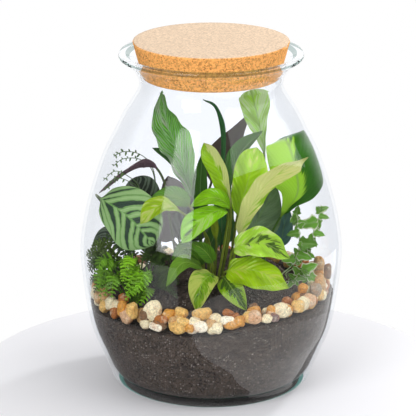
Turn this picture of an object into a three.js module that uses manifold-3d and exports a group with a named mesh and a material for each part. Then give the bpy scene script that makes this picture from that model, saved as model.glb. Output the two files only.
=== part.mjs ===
// A closed plant terrarium: a bellied glass jar with a cork lid, soil, pebbles and five kinds of plant.
// Millimetres, +Z up. The origin is the middle of the jar's flat base, and -Y is the front.
import * as THREE from "three";
import { mergeVertices } from "three/addons/utils/BufferGeometryUtils.js";
import Module from "manifold-3d";

const wasm = await Module();
wasm.setup();

// Clearances and thicknesses shared by the pieces.
const GAP = 0.35;
const WALL = 3;
const BLADE = 0.8;
const SEGMENTS = 32;

// Jar: radius and height of the outside from the heel to the neck, then the flared mouth.
const JAR_OUTSIDE = [
  [0, 0],
  [70, 0],
  [78, 1],
  [84.1, 6],
  [93.9, 30],
  [101.9, 50],
  [106.8, 75],
  [109.8, 100],
  [110.5, 122],
  [106, 150],
  [99.2, 175],
  [90.4, 200],
  [80.5, 220],
  [66.7, 245],
  [59.8, 258],
];
const JAR_MOUTH = [
  [61, 265.5],
  [65, 273],
  [71.5, 279],
  [75.8, 281.6],
  [77, 284],
  [75.6, 286.4],
  [72.6, 286.4],
  [69.5, 284.2],
  [64.4, 278.8],
  [60.4, 271],
  [58.2, 267.5],
];
const JAR_FLOOR_HEIGHT = 7;
const JAR_FLOOR_RADIUS = 76;
const JAR_FLOOR_BEND = [82.6, 12];

// Cork: radius and height of its half section.
const CORK = [
  [0, 265.5],
  [56.4, 265.5],
  [57.6, 266.7],
  [65.2, 295],
  [63.9, 296.3],
  [0, 296.3],
];

// Soil: its line on the glass is lower at the left than at the right, and root balls raise the middle.
const SOIL = { left: 70, right: 78, middle: 97, middleRadius: 52, footRadius: 82 };
const SOIL_LUMP = 1.2;

const COLOURS = {
  glass: 0xdfeaf2,
  cork: 0xc98f55,
  soil: 0x2b2725,
  lime: 0x8fc31f,
  lily: 0x2f7a25,
  striped: 0x7fa65a,
  fern: 0x2c8a1c,
  ivy: 0x6f9a5c,
  creeper: 0x52703f,
  cream: 0xe3d3b0,
  tan: 0xb58d68,
  yellow: 0xd8b36a,
  orange: 0xd08a3e,
  pink: 0xb98a74,
  grey: 0x9b8e80,
  brown: 0x6e5a48,
};

const terrarium = new THREE.Group();

function addPiece(name, geometry, colour, roughness = 0.6, extra = {}) {
  const material = new THREE.MeshStandardMaterial({ color: colour, roughness, metalness: 0, ...extra });
  const mesh = new THREE.Mesh(geometry, material);
  mesh.name = name;
  terrarium.add(mesh);
}

// The same draw every time, from a whole-number seed.
function seededRandom(seed) {
  let state = seed;
  return () => {
    state = (state * 1664525 + 1013904223) % 4294967296;
    return state / 4294967296;
  };
}

// Joins and cuts.
function solidOf(geometry) {
  const bare = geometry.clone();
  bare.deleteAttribute("normal");
  bare.deleteAttribute("uv");
  const merged = mergeVertices(bare, 1e-4);
  return new wasm.Manifold(
    new wasm.Mesh({
      numProp: 3,
      vertProperties: new Float32Array(merged.attributes.position.array),
      triVerts: new Uint32Array(merged.index.array),
    }),
  );
}

function geometryOf(solid) {
  const mesh = solid.getMesh();
  const geometry = new THREE.BufferGeometry();
  geometry.setAttribute("position", new THREE.BufferAttribute(mesh.vertProperties, 3));
  geometry.setIndex(new THREE.BufferAttribute(mesh.triVerts, 1));
  geometry.computeVertexNormals();
  return geometry;
}

function fuse(geometries) {
  return geometries.map(solidOf).reduce((joined, next) => joined.add(next));
}

function largestBody(solid) {
  return solid.decompose().sort((a, b) => b.volume() - a.volume())[0];
}

function revolve(profile) {
  const points = profile.map(([radius, height]) => new THREE.Vector2(radius, height));
  return new THREE.LatheGeometry(points, SEGMENTS).rotateX(Math.PI / 2);
}

// A closed grid of rings: each ring is a list of points in the same order, facing out.
function ringSurface(rings) {
  const size = rings[0].length;
  const positions = rings.flat().flatMap((point) => point.toArray());
  const index = [];
  for (let ring = 0; ring < rings.length - 1; ring++) {
    for (let side = 0; side < size; side++) {
      const a = ring * size + side;
      const b = ring * size + ((side + 1) % size);
      index.push(a, b, b + size, a, b + size, a + size);
    }
  }
  const geometry = new THREE.BufferGeometry();
  geometry.setAttribute("position", new THREE.Float32BufferAttribute(positions, 3));
  geometry.setIndex(index);
  return geometry;
}

// Jar
function glassInside(height) {
  const above = JAR_OUTSIDE.findIndex(([, z]) => z > height);
  const [lowRadius, low] = JAR_OUTSIDE[above - 1];
  const [highRadius, high] = JAR_OUTSIDE[above];
  return THREE.MathUtils.mapLinear(height, low, high, lowRadius, highRadius) - WALL;
}

function jarProfile() {
  const wallInside = JAR_OUTSIDE.filter(([, z]) => z > 6)
    .map(([radius, z]) => [radius - WALL, z])
    .reverse();
  return [
    ...JAR_OUTSIDE,
    ...JAR_MOUTH,
    ...wallInside,
    JAR_FLOOR_BEND,
    [JAR_FLOOR_RADIUS, JAR_FLOOR_HEIGHT],
    [0, JAR_FLOOR_HEIGHT],
  ];
}

// Soil
function soilHeight(x, y) {
  const rim = THREE.MathUtils.lerp(SOIL.left, SOIL.right, THREE.MathUtils.smoothstep(x, -5, 35));
  const radius = Math.hypot(x, y);
  const rise = 1 - THREE.MathUtils.smoothstep(radius, SOIL.middleRadius, SOIL.footRadius);
  const lumps = SOIL_LUMP * Math.sin(x * 0.21 + 1) * Math.cos(y * 0.17);
  return rim + (SOIL.middle + lumps - rim) * rise;
}

function soilGeometry() {
  const floor = JAR_FLOOR_HEIGHT + GAP;
  const rings = [];
  const ringAt = (radiusAt, heightAt) => {
    const ring = [];
    for (let side = 0; side < SEGMENTS; side++) {
      const bearing = (side / SEGMENTS) * 2 * Math.PI;
      const height = heightAt(bearing);
      const radius = radiusAt(height);
      ring.push(new THREE.Vector3(radius * Math.sin(bearing), -radius * Math.cos(bearing), height));
    }
    rings.push(ring);
  };
  const topAt = (bearing, radius) =>
    soilHeight(radius * Math.sin(bearing), -radius * Math.cos(bearing));
  const glassGap = (height) => glassInside(height) - GAP;
  ringAt(() => JAR_FLOOR_RADIUS - 2 * GAP, () => floor);
  ringAt(() => JAR_FLOOR_BEND[0] - 2 * GAP, () => JAR_FLOOR_BEND[1] + GAP);
  ringAt(glassGap, () => 30);
  ringAt(glassGap, () => 50);
  ringAt(glassGap, (bearing) => topAt(bearing, 103));
  for (const radius of [92, 82, 74, 66, 58, 51, 30, 10]) {
    ringAt(() => radius, (bearing) => topAt(bearing, radius));
  }
  const sides = ringSurface(rings);
  const last = rings.length - 1;
  const positions = [...sides.attributes.position.array, 0, 0, floor, 0, 0, soilHeight(0, 0)];
  const index = [...sides.index.array];
  const bottomMiddle = rings.length * SEGMENTS;
  for (let side = 0; side < SEGMENTS; side++) {
    const next = (side + 1) % SEGMENTS;
    index.push(bottomMiddle, next, side);
    index.push(bottomMiddle + 1, last * SEGMENTS + side, last * SEGMENTS + next);
  }
  const geometry = new THREE.BufferGeometry();
  geometry.setAttribute("position", new THREE.Float32BufferAttribute(positions, 3));
  geometry.setIndex(index);
  return geometry;
}

// Plain vertical hole in the soil for one stem.
const ROOT_DEPTH = 8;
function stemHole([x, y], stemRadius) {
  const bottom = soilHeight(x, y) - ROOT_DEPTH - GAP;
  const height = ROOT_DEPTH + 12;
  const hole = new THREE.CylinderGeometry(stemRadius + GAP, stemRadius + GAP, height, 6);
  return hole.rotateX(Math.PI / 2).translate(x, y, bottom + height / 2);
}

// Blades: half width along a leaf, from 0 at its base to 1 at its tip.
function leafOutline(along, [rise, fall]) {
  const peak = rise / (rise + fall);
  const shape = (at) => Math.pow(at, rise) * Math.pow(1 - at, fall);
  return shape(along) / shape(peak);
}

function plainStations(count, width, full) {
  const stations = [];
  for (let step = 0; step <= count; step++) {
    const even = step / count;
    const along = 0.5 * even + 0.25 * (1 - Math.cos(Math.PI * even));
    const half = Math.max((width / 2) * leafOutline(along, full), 0.5);
    stations.push({ along, left: half, right: half });
  }
  return stations;
}

// A frond's outline is cut to its rib between the leaflets, which lean towards the tip.
function frondStations(pairs, width, full) {
  const stations = [];
  for (let pair = 0; pair < pairs; pair++) {
    const start = pair / pairs;
    const reach = (width / 2) * leafOutline((pair + 0.7) / (pairs + 0.3), full);
    stations.push({ along: start, left: 0.6, right: 0.6 });
    stations.push({ along: start + 0.28 / pairs, left: reach, right: reach });
    stations.push({ along: start + 0.72 / pairs, left: 0.85 * reach, right: 0.85 * reach });
  }
  stations.push({ along: 1, left: 0.5, right: 0.5 });
  return stations;
}

// Leaflets stand in turn at the left and the right of a creeper's stem, from `bare` of its length on.
function creeperStations(turns, reach, bare, random) {
  const stations = [];
  const twig = 0.5;
  for (let turn = 0; turn < turns; turn++) {
    const start = bare + ((1 - bare) * turn) / turns;
    const step = (1 - bare) / turns;
    const leaflet = reach * (0.75 + 0.4 * random());
    const [left, right] = turn % 2 === 0 ? [leaflet, twig] : [twig, leaflet];
    stations.push({ along: start, left: twig, right: twig });
    stations.push({ along: start + 0.45 * step, left, right });
  }
  stations.push({ along: 1, left: 0.4, right: 0.4 });
  return stations;
}

// A stem that turns into a blade: one closed surface swept along the smooth curve through its points.
// The blade's upper side faces `face` at mid blade and follows the curve's bend from there.
function sweepLeaf({
  points,
  bladeStart,
  stations,
  face,
  fold = 15,
  curl = 0,
  ripple = 0,
  ripples = 3,
  slant = 0,
  across = 2,
  stemRadius = LEAF_STEM_RADIUS,
}) {
  const curve = new THREE.CatmullRomCurve3(
    points.map((point) => new THREE.Vector3(...point)),
    false,
    "catmullrom",
    0.5,
  );
  const spans = points.length - 1;
  const bladeAt = bladeStart / spans;
  const slices = [];
  for (let span = 0; span < bladeStart; span++) {
    slices.push({ at: span / spans, stem: true });
    if (span === bladeStart - 1) slices.push({ at: (span + 0.5) / spans, stem: true });
  }
  for (const station of stations) {
    slices.push({ at: bladeAt + (1 - bladeAt) * station.along, ...station });
  }
  for (const slice of slices) {
    slice.centre = curve.getPoint(slice.at);
    slice.ahead = curve.getTangent(slice.at);
  }
  const middle = slices.findIndex(({ along }) => along >= 0.45);
  const start = middle < 0 ? 0 : middle;
  slices[start].side = slices[start].ahead.clone().cross(new THREE.Vector3(...face)).normalize();
  const carry = (from, to) => {
    to.side = from.side.clone().addScaledVector(to.ahead, -from.side.dot(to.ahead)).normalize();
  };
  for (let k = start + 1; k < slices.length; k++) carry(slices[k - 1], slices[k]);
  for (let k = start - 1; k >= 0; k--) carry(slices[k + 1], slices[k]);

  const tilt = THREE.MathUtils.degToRad(fold);
  const rings = slices.map((slice) => {
    const side = slice.side;
    const up = side.clone().cross(slice.ahead);
    const upper = [];
    const lower = [];
    for (let step = 0; step <= across; step++) {
      const point = slice.centre.clone();
      if (slice.stem) {
        const angle = Math.PI * (1 - (step + 0.5) / (across + 1));
        point.addScaledVector(side, stemRadius * Math.cos(angle));
        const rise = stemRadius * Math.sin(angle);
        upper.push(point.clone().addScaledVector(up, rise));
        lower.push(point.clone().addScaledVector(up, -rise));
        continue;
      }
      const out = (2 * step) / across - 1;
      const wave = Math.sin(2 * Math.PI * ripples * slice.along + (out > 0 ? 0.9 : 0));
      const reach = out < 0 ? slice.left : slice.right;
      const lift = reach * (Math.abs(out) * Math.sin(tilt) - curl * out * out);
      const waveLift = ripple * wave * out * out * Math.min(1, reach / 4);
      const half = BLADE / 2 / Math.cos(tilt);
      point.addScaledVector(side, out * reach * Math.cos(tilt));
      point.addScaledVector(slice.ahead, Math.abs(out) * slant * reach);
      upper.push(point.clone().addScaledVector(up, lift + waveLift + half));
      lower.push(point.clone().addScaledVector(up, lift + waveLift - half));
    }
    return [...upper, ...lower];
  });
  return bladeSurface(rings, across + 1);
}

// Both faces of a blade are split into triangles alike, so a waved blade never crosses itself.
function bladeSurface(rings, width) {
  const size = 2 * width;
  const upper = (ring, step) => ring * size + step;
  const lower = (ring, step) => ring * size + width + step;
  const index = [];
  const last = rings.length - 1;
  const edge = width - 1;
  for (let ring = 0; ring < last; ring++) {
    for (let step = 0; step < edge; step++) {
      index.push(upper(ring, step), upper(ring, step + 1), upper(ring + 1, step + 1));
      index.push(upper(ring, step), upper(ring + 1, step + 1), upper(ring + 1, step));
      index.push(lower(ring, step), lower(ring + 1, step + 1), lower(ring, step + 1));
      index.push(lower(ring, step), lower(ring + 1, step), lower(ring + 1, step + 1));
    }
    index.push(upper(ring, 0), upper(ring + 1, 0), lower(ring + 1, 0));
    index.push(upper(ring, 0), lower(ring + 1, 0), lower(ring, 0));
    index.push(upper(ring, edge), lower(ring + 1, edge), upper(ring + 1, edge));
    index.push(upper(ring, edge), lower(ring, edge), lower(ring + 1, edge));
  }
  for (let step = 0; step < edge; step++) {
    index.push(upper(last, step), upper(last, step + 1), lower(last, step + 1));
    index.push(upper(last, step), lower(last, step + 1), lower(last, step));
    index.push(upper(0, step), lower(0, step + 1), upper(0, step + 1));
    index.push(upper(0, step), lower(0, step), lower(0, step + 1));
  }
  const positions = rings.flat().flatMap((point) => point.toArray());
  const geometry = new THREE.BufferGeometry();
  geometry.setAttribute("position", new THREE.Float32BufferAttribute(positions, 3));
  geometry.setIndex(index);
  return geometry;
}

// The three lowest points of a stem: straight down in its hole, and a little above the soil.
function rootPoints([x, y]) {
  const ground = soilHeight(x, y);
  return [
    [x, y, ground - ROOT_DEPTH],
    [x, y, ground + 0.5],
    [x, y, ground + 5],
  ];
}

function plantedLeaf(leaf, stations) {
  const { foot, stem = [], rib, ...shape } = leaf;
  const lead = [...rootPoints(foot), ...stem];
  return sweepLeaf({ ...shape, points: [...lead, ...rib], bladeStart: lead.length, stations });
}

// Leaves: foot on the soil, points of the petiole and the midrib, width and the way the leaf faces.
const LIME_LEAVES = [
  {
    foot: [9, -31], stem: [[15, -30, 135]], rib: [[16, -33, 162], [8, -34, 190], [-8, -26, 214]],
    width: 20, face: [-0.2, -1, 0.2], fold: 22, across: 4, ripple: 0.6,
  },
  {
    foot: [14, -26], stem: [[19, -22, 130]], rib: [[22, -20, 150], [31, -18, 181], [38, -8, 210]],
    width: 33, face: [0.1, -1, 0.15], fold: 8, across: 4, ripple: 0.8,
  },
  {
    foot: [16, -33], rib: [[23, -38, 137], [34, -45, 167], [50, -38, 187], [81, -10, 198]],
    width: 19, face: [-0.35, -0.8, 0.5], fold: 18, ripple: 0.7, full: [0.5, 0.7],
  },
  {
    foot: [9, -36], stem: [[13, -37, 134]], rib: [[15, -40, 162], [1, -47, 174], [-17, -52, 168]],
    width: 17, face: [0, -0.7, 0.75],
  },
  {
    foot: [6, -41], stem: [[11, -43, 134]], rib: [[14, -47, 157], [-4, -61, 158], [-24, -67, 138]],
    width: 24, face: [-0.3, -0.8, 0.4], across: 4, ripple: 0.7,
  },
  {
    foot: [-1, -38], stem: [[-3, -36, 136]], rib: [[-26, -53, 164], [-42, -60, 171], [-58, -62, 156]],
    width: 17, face: [-0.1, -0.7, 0.7], ripple: 0.5,
  },
  {
    foot: [-2, -30], stem: [[-5, -33, 137]], rib: [[-18, -38, 164], [-32, -42, 174], [-49, -44, 174]],
    width: 17, face: [0, -0.8, 0.6],
  },
  {
    foot: [15, -40], rib: [[19, -50, 130], [42, -62, 139], [65, -58, 125]],
    width: 29, face: [0, -0.7, 0.75], fold: 12, across: 4, ripple: 1,
  },
  {
    foot: [11, -45], rib: [[13, -53, 113], [38, -68, 119], [64, -67, 103]],
    width: 29, face: [0.1, -0.75, 0.65], fold: 8, across: 4, ripple: 1.1,
  },
  {
    foot: [2, -46], rib: [[1, -53, 109], [-8, -67, 105], [-12, -75, 84]],
    width: 23, face: [-0.2, -0.9, 0.3], ripple: 0.6,
  },
  {
    foot: [7, -48], rib: [[10, -54, 107], [18, -69, 101], [29, -77, 86]],
    width: 20, face: [-0.2, -0.8, 0.5],
  },
  {
    foot: [-5, -42], rib: [[-8, -50, 114], [-24, -60, 121], [-37, -69, 104]],
    width: 15, face: [-0.2, -0.7, 0.7], ripple: 0.6,
  },
  {
    foot: [3, -35], stem: [[4, -36, 121]], rib: [[4, -38, 135], [3, -39, 148], [1, -38, 158]],
    width: 9, face: [-0.2, 1, 0.1], fold: 40, full: [0.5, 0.4],
  },
  {
    foot: [1, -42], rib: [[1, -46, 117], [-6, -52, 130], [-18, -55, 138]],
    width: 13, face: [-0.3, -0.7, 0.6],
  },
  {
    foot: [-5, -37], rib: [[-8, -40, 113], [-13, -46, 123], [-20, -51, 131]],
    width: 11, face: [-0.4, -0.7, 0.5],
  },
  {
    foot: [-6, -31], rib: [[-8, -32, 116], [-20, -36, 127], [-33, -44, 119]],
    width: 15, face: [-0.1, -0.6, 0.8],
  },
];

const LILY_LEAVES = [
  {
    foot: [-8, 24], stem: [[-10, 24, 118]],
    rib: [[-14, 20, 152], [-23, 12, 192], [-33, 10, 223], [-40, 8, 249]],
    width: 36, face: [-0.25, -1, 0.1], fold: 14, across: 4, ripple: 1.2, ripples: 4, full: [0.6, 1],
  },
  {
    foot: [-14, 34], stem: [[-17, 40, 128]], rib: [[-22, 38, 166], [-35, 34, 185], [-50, 30, 195]],
    width: 13, face: [-0.2, -0.6, 0.8],
  },
  {
    foot: [10, 28], stem: [[14, 30, 135]],
    rib: [[11, 30, 172], [11, 28, 209], [5, 26, 232], [-7, 28, 238]],
    width: 18, face: [-0.9, -0.3, 0.2], fold: 32,
  },
  {
    foot: [30, 26], stem: [[43, 26, 150]],
    rib: [[46, 27, 190], [44, 24, 210], [41, 20, 230], [36, 14, 250]],
    width: 25, face: [0.1, -1, 0.1], fold: 10, across: 4, ripple: 0.8, full: [1.1, 0.4],
  },
  {
    foot: [18, 4], stem: [[18, 4, 148]], rib: [[16, 4, 168], [24, 5, 196], [43, 4, 217]],
    width: 26, face: [-0.2, -0.9, 0.4], fold: 20, across: 4, ripple: 0.7,
  },
  {
    foot: [38, 8], stem: [[46, 10, 115]],
    rib: [[57, 10, 140], [71, 2, 163], [69, 2, 186], [63, 11, 205], [58, 32, 202]],
    width: 43, face: [0.1, -1, 0.2], fold: 6, across: 4, ripple: 1, full: [0.35, 0.6],
  },
  {
    foot: [26, 8], rib: [[30, 14, 117], [40, 20, 141], [55, 24, 162]],
    width: 34, face: [0.1, -1, 0.3], fold: 10,
  },
  {
    foot: [46, 16], rib: [[58, 18, 112], [62, 22, 127], [65, 26, 146]],
    width: 17, face: [0, -1, 0.3],
  },
  {
    foot: [-4, 14], stem: [[-8, 10, 114]], rib: [[-9, 2, 140], [-9, 0, 171], [-7, 0, 200]],
    width: 14, face: [-0.3, -1, 0.1],
  },
];

const STRIPED_LEAVES = [
  {
    foot: [-46, 22], stem: [[-76, 18, 130], [-96, 8, 158]],
    rib: [[-91, -3, 160], [-72, -22, 152], [-58, -31, 140], [-48, -35, 129]],
    width: 50, face: [-0.3, -0.85, 0.45], fold: 5, curl: 0.15, across: 4, full: [0.45, 0.45],
  },
  {
    foot: [-36, 8], stem: [[-45, 10, 115]], rib: [[-50, 10, 134], [-58, 10, 159], [-64, 14, 177]],
    width: 31, face: [0.1, -1, 0.2], across: 4, full: [0.5, 0.45],
  },
  {
    foot: [-30, 16], stem: [[-36, 14, 142], [-39, 10, 168]],
    rib: [[-46, 6, 184], [-55, 1, 191], [-72, -5, 184], [-94, -7, 166]],
    width: 15, face: [-0.3, 0.8, 0.45], full: [0.5, 0.7],
  },
  {
    foot: [-4, 42], stem: [[-5, 44, 131]], rib: [[0, 43, 160], [16, 44, 190], [29, 38, 222]],
    width: 36, face: [0.1, 1, 0.1], across: 4, full: [0.5, 0.7],
  },
  {
    foot: [-48, 26], rib: [[-70, 18, 115], [-86, 8, 124], [-101, 1, 116]],
    width: 22, face: [-0.2, -0.4, 0.9],
  },
  {
    foot: [-26, 38], rib: [[-29, 42, 117], [-30, 46, 140], [-37, 44, 166]],
    width: 32, face: [0.1, 1, 0.1],
  },
  {
    foot: [-20, 28], rib: [[-23, 29, 112], [-16, 30, 132], [-6, 28, 154]],
    width: 34, face: [0.1, -1, 0.2],
  },
];

const FERN_FRONDS = [
  {
    foot: [-64, -18], rib: [[-76, -13, 106], [-90, -10, 122], [-101, -9, 119]],
    width: 15, face: [-0.3, -0.7, 0.6],
  },
  {
    foot: [-68, -23], rib: [[-82, -22, 104], [-94, -23, 112], [-101, -22, 101]],
    width: 14, face: [-0.5, -0.6, 0.5],
  },
  {
    foot: [-66, -31], rib: [[-78, -37, 113], [-86, -43, 117], [-89, -48, 98]],
    width: 17, face: [-0.6, -0.7, 0.2],
  },
  {
    foot: [-62, -36], rib: [[-66, -45, 112], [-69, -53, 121], [-72, -62, 112]],
    width: 15, face: [-0.2, -0.7, 0.6],
  },
  {
    foot: [-57, -39], rib: [[-55, -50, 106], [-57, -61, 110], [-65, -71, 98]],
    width: 16, face: [-0.2, -0.9, 0.4],
  },
  {
    foot: [-53, -33], rib: [[-47, -42, 103], [-40, -50, 108], [-34, -57, 102]],
    width: 14, face: [0.1, -0.7, 0.7],
  },
  {
    foot: [-60, -26], rib: [[-66, -20, 114], [-75, -10, 131], [-85, -2, 138]],
    width: 15, face: [-0.2, -0.7, 0.7],
  },
  {
    foot: [-55, -24], rib: [[-53, -18, 112], [-48, -18, 123], [-42, -22, 126]],
    width: 14, face: [0.1, -0.7, 0.7],
  },
];
const FROND_PAIRS = 5;
const FROND_STEM_RADIUS = 0.9;
const LEAF_STEM_RADIUS = 1.1;

// Ivy: stem points above the soil, then each leaf as its place on the stem, its direction seen from
// the front in degrees, and its length.
const IVY_SPRAYS = [
  {
    foot: [64, -6], stem: [[76, -4, 104], [84, 0, 122], [90, 4, 138], [93, 7, 149]],
    leaves: [[0.4, 195, 9], [0.6, -8, 10], [0.74, 186, 17], [0.84, -5, 9], [0.96, 25, 8]],
  },
  {
    foot: [60, -14], stem: [[68, -12, 104], [74, -10, 118], [74, -6, 134], [72, 0, 146]],
    leaves: [
      [0.36, 182, 12], [0.42, -10, 13], [0.56, 8, 16], [0.7, 182, 11], [0.85, 10, 8], [1, 80, 9],
    ],
  },
  {
    foot: [62, -24], stem: [[70, -26, 96], [76, -24, 103], [82, -26, 99]],
    leaves: [[0.3, 230, 9], [0.52, 120, 10], [0.74, 35, 15], [0.97, -20, 12]],
  },
];

const CREEPER_REACH = 5;
const CREEPER_SPRAYS = [
  {
    foot: [-44, 34],
    stem: [[-46, 28, 150], [-49, 20, 180], [-59, 16, 193], [-72, 10, 197], [-80, 6, 194]],
    turns: 16,
    bare: 0.5,
  },
  {
    foot: [-42, -10],
    stem: [[-54, -2, 140], [-60, 3, 168], [-68, -5, 180], [-78, -14, 187], [-87, -11, 178]],
    turns: 14,
    bare: 0.55,
  },
];

// Stones: bearing from the front in degrees, distance from the axis, height of the middle, width, own
// height and colour.
const BIG_STONES = [
  [-31, 93, 86, 18, 19, "cream"],
  [-62, 95, 81, 13, 13, "cream"],
  [-74, 98, 80, 12, 12, "tan"],
  [-43, 96, 83, 12, 16, "yellow"],
  [21, 98, 84, 13, 12, "pink"],
  [36, 97, 86, 15, 14, "cream"],
  [47, 98, 86, 12, 12, "yellow"],
  [56, 98, 87, 13, 12, "pink"],
  [66, 96, 92, 12, 13, "grey"],
  [101, 94, 95, 12, 15, "tan"],
  [86, 99, 97, 8, 15, "brown"],
];

// Smaller stones, fused in the ring: bearing, distance, height of the middle, width, own height.
const SMALL_STONES = [
  [-48, 99, 84, 9, 15], [-54, 90, 88, 10, 9], [-90, 98, 81, 11, 10], [-80, 98, 91, 8, 9],
  [-22, 92, 85, 11, 11], [-16, 90, 87, 12, 10], [-14, 97, 82, 12, 8], [-18, 98, 78, 10, 9],
  [-10, 99, 78, 8, 8], [-5, 98, 79, 13, 10], [-27, 100, 76, 13, 7], [-5, 88, 86, 18, 12],
  [2, 93, 84, 11, 10], [3, 99, 78, 9, 10], [8, 95, 83, 14, 8], [9, 88, 87, 10, 7],
  [14, 98, 83, 9, 10], [25, 82, 87, 9, 8], [27, 100, 80, 10, 8], [31, 100, 80, 9, 8],
  [58, 90, 95, 9, 9], [56, 91, 88, 8, 8], [68, 98, 98, 9, 13], [71, 98, 92, 8, 13],
  [70, 98, 85, 10, 11], [56, 96, 83, 12, 9], [66, 94, 86, 12, 10], [101, 93, 86, 13, 11],
  [86, 93, 86, 13, 13],
];
const PEBBLE_DETAIL = [6, 4];
const STONE_DETAIL = [5, 4];
const ROW_DETAIL = [5, 3];

function pebbleGeometry(random, size, [columns, rows]) {
  const ball = new THREE.SphereGeometry(0.5, columns, rows);
  const phases = [random(), random(), random()].map((draw) => draw * 6.28);
  const position = ball.attributes.position;
  const point = new THREE.Vector3();
  for (let k = 0; k < position.count; k++) {
    point.fromBufferAttribute(position, k);
    const lump = 0.09 * Math.sin(5 * point.x + phases[0]) + 0.09 * Math.sin(6 * point.y + phases[1]);
    point.multiplyScalar(1 + lump + 0.07 * Math.sin(5 * point.z + phases[2]));
    position.setXYZ(k, point.x * size[0], point.y * size[1], point.z * size[2]);
  }
  return ball;
}

// A stone is never lower than where it would lie on the soil.
const MOST_DEEP = 10;
function placedPebble(random, [bearing, distance, height, width, tall], detail, grow = 0) {
  const deep = Math.min(0.92 * width, 0.92 * tall, MOST_DEEP);
  const size = [width, deep, tall].map((length) => length + 2 * grow);
  const angle = THREE.MathUtils.degToRad(bearing);
  const x = distance * Math.sin(angle);
  const y = -distance * Math.cos(angle);
  const lowest = soilHeight(x, y) + 1.5 * GAP + 0.58 * tall;
  const geometry = pebbleGeometry(random, size, detail).rotateZ(angle);
  return geometry.translate(x, y, Math.max(height, lowest));
}

// The bed behind and under the stones follows the soil, and its top is level.
const BED = { inside: 84, outside: 94, top: 82 };
function stoneBed() {
  const ringAt = (radius, heightAt) => {
    const ring = [];
    for (let side = 0; side < SEGMENTS; side++) {
      const bearing = (side / SEGMENTS) * 2 * Math.PI;
      const x = radius * Math.sin(bearing);
      const y = -radius * Math.cos(bearing);
      ring.push(new THREE.Vector3(x, y, heightAt(soilHeight(x, y))));
    }
    return ring;
  };
  const onSoil = (soil) => soil + 1.5 * GAP;
  const level = () => BED.top;
  const lowest = ringAt(BED.inside, onSoil);
  const upright = [ringAt(BED.outside, onSoil), ringAt(BED.outside, level)];
  return ringSurface([lowest, ...upright, ringAt(BED.inside, level), lowest]);
}

// A row of stones by rule stands at the glass all the way round, and the listed ones lie on it.
const GLASS_ROW = { count: 24, distance: 97, width: 22, tall: 14 };
function ringStones() {
  const random = seededRandom(11);
  const stones = SMALL_STONES.map((stone) => placedPebble(random, stone, STONE_DETAIL));
  for (let place = 0; place < GLASS_ROW.count; place++) {
    const bearing = ((place + 0.3 * random()) * 360) / GLASS_ROW.count;
    const size = [GLASS_ROW.width * (0.85 + 0.3 * random()), GLASS_ROW.tall * (0.85 + 0.3 * random())];
    stones.push(placedPebble(random, [bearing, GLASS_ROW.distance, 0, ...size], ROW_DETAIL));
  }
  return fuse([stoneBed(), ...stones]);
}

// The five kinds of plant, and what the soil must leave open for their stems.
const holes = [];
const plants = [];

function plantLeaves(prefix, leaves, colour) {
  leaves.forEach((leaf, number) => {
    const { full = [0.6, 0.9], ...shape } = leaf;
    const count = leaf.across === 4 ? 7 : 6;
    const geometry = plantedLeaf(shape, plainStations(count, leaf.width, full));
    plants.push([`${prefix}_${String(number + 1).padStart(2, "0")}`, geometry, colour]);
    holes.push(stemHole(leaf.foot, LEAF_STEM_RADIUS));
  });
}

function plantFronds() {
  FERN_FRONDS.forEach((frond, number) => {
    const stations = frondStations(FROND_PAIRS, frond.width, [0.5, 0.7]);
    const shape = { ...frond, fold: 8, slant: 0.25, stemRadius: FROND_STEM_RADIUS };
    const geometry = plantedLeaf(shape, stations);
    plants.push([`fern_frond_${number + 1}`, geometry, COLOURS.fern]);
    holes.push(stemHole(frond.foot, FROND_STEM_RADIUS));
  });
}

const SPRAY_FACE = [0, -1, 0.35];
const SPRAY_STEM_RADIUS = 0.7;

function sprayStem(foot, stem) {
  const points = [...rootPoints(foot), ...stem];
  const curve = new THREE.CatmullRomCurve3(
    points.map((point) => new THREE.Vector3(...point)),
    false,
    "catmullrom",
    0.5,
  );
  const geometry = sweepLeaf({
    points,
    bladeStart: points.length - 1,
    stations: [{ along: 0.5, left: 0.5, right: 0.5 }, { along: 1, left: 0.4, right: 0.4 }],
    face: [1, 0, 0.2],
    fold: 0,
    across: 1,
    stemRadius: SPRAY_STEM_RADIUS,
  });
  return { curve, geometry, first: 2 / (points.length - 1) };
}

function looseLeaf(root, direction, length, stations) {
  const droop = length * 0.12;
  const at = (share) => [
    root.x + direction.x * length * share,
    root.y + direction.y * length * share,
    root.z + direction.z * length * share - droop * share * share,
  ];
  return sweepLeaf({
    points: [at(-0.06), at(0.5), at(1)],
    bladeStart: 0,
    stations,
    face: SPRAY_FACE,
    fold: 0,
    across: 1,
  });
}

// An ivy leaf has two side lobes and a pointed middle lobe.
function ivyStations(length) {
  const outline = [[0, 0.05], [0.24, 0.46], [0.5, 0.24], [1, 0.03]];
  return outline.map(([along, share]) => {
    const half = share * length + 0.3;
    return { along, left: half, right: half };
  });
}

function plantIvy() {
  IVY_SPRAYS.forEach((spray, number) => {
    const { curve, geometry, first } = sprayStem(spray.foot, spray.stem);
    const leaves = spray.leaves.map(([place, degrees, length]) => {
      const root = curve.getPoint(first + (1 - first) * (place === 1 ? 0.99 : place));
      const angle = THREE.MathUtils.degToRad(degrees);
      const direction = new THREE.Vector3(Math.cos(angle), -0.15, Math.sin(angle)).normalize();
      return looseLeaf(root, direction, length, ivyStations(length));
    });
    plants.push([`ivy_spray_${number + 1}`, geometryOf(fuse([geometry, ...leaves])), COLOURS.ivy]);
    holes.push(stemHole(spray.foot, SPRAY_STEM_RADIUS));
  });
}

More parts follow.
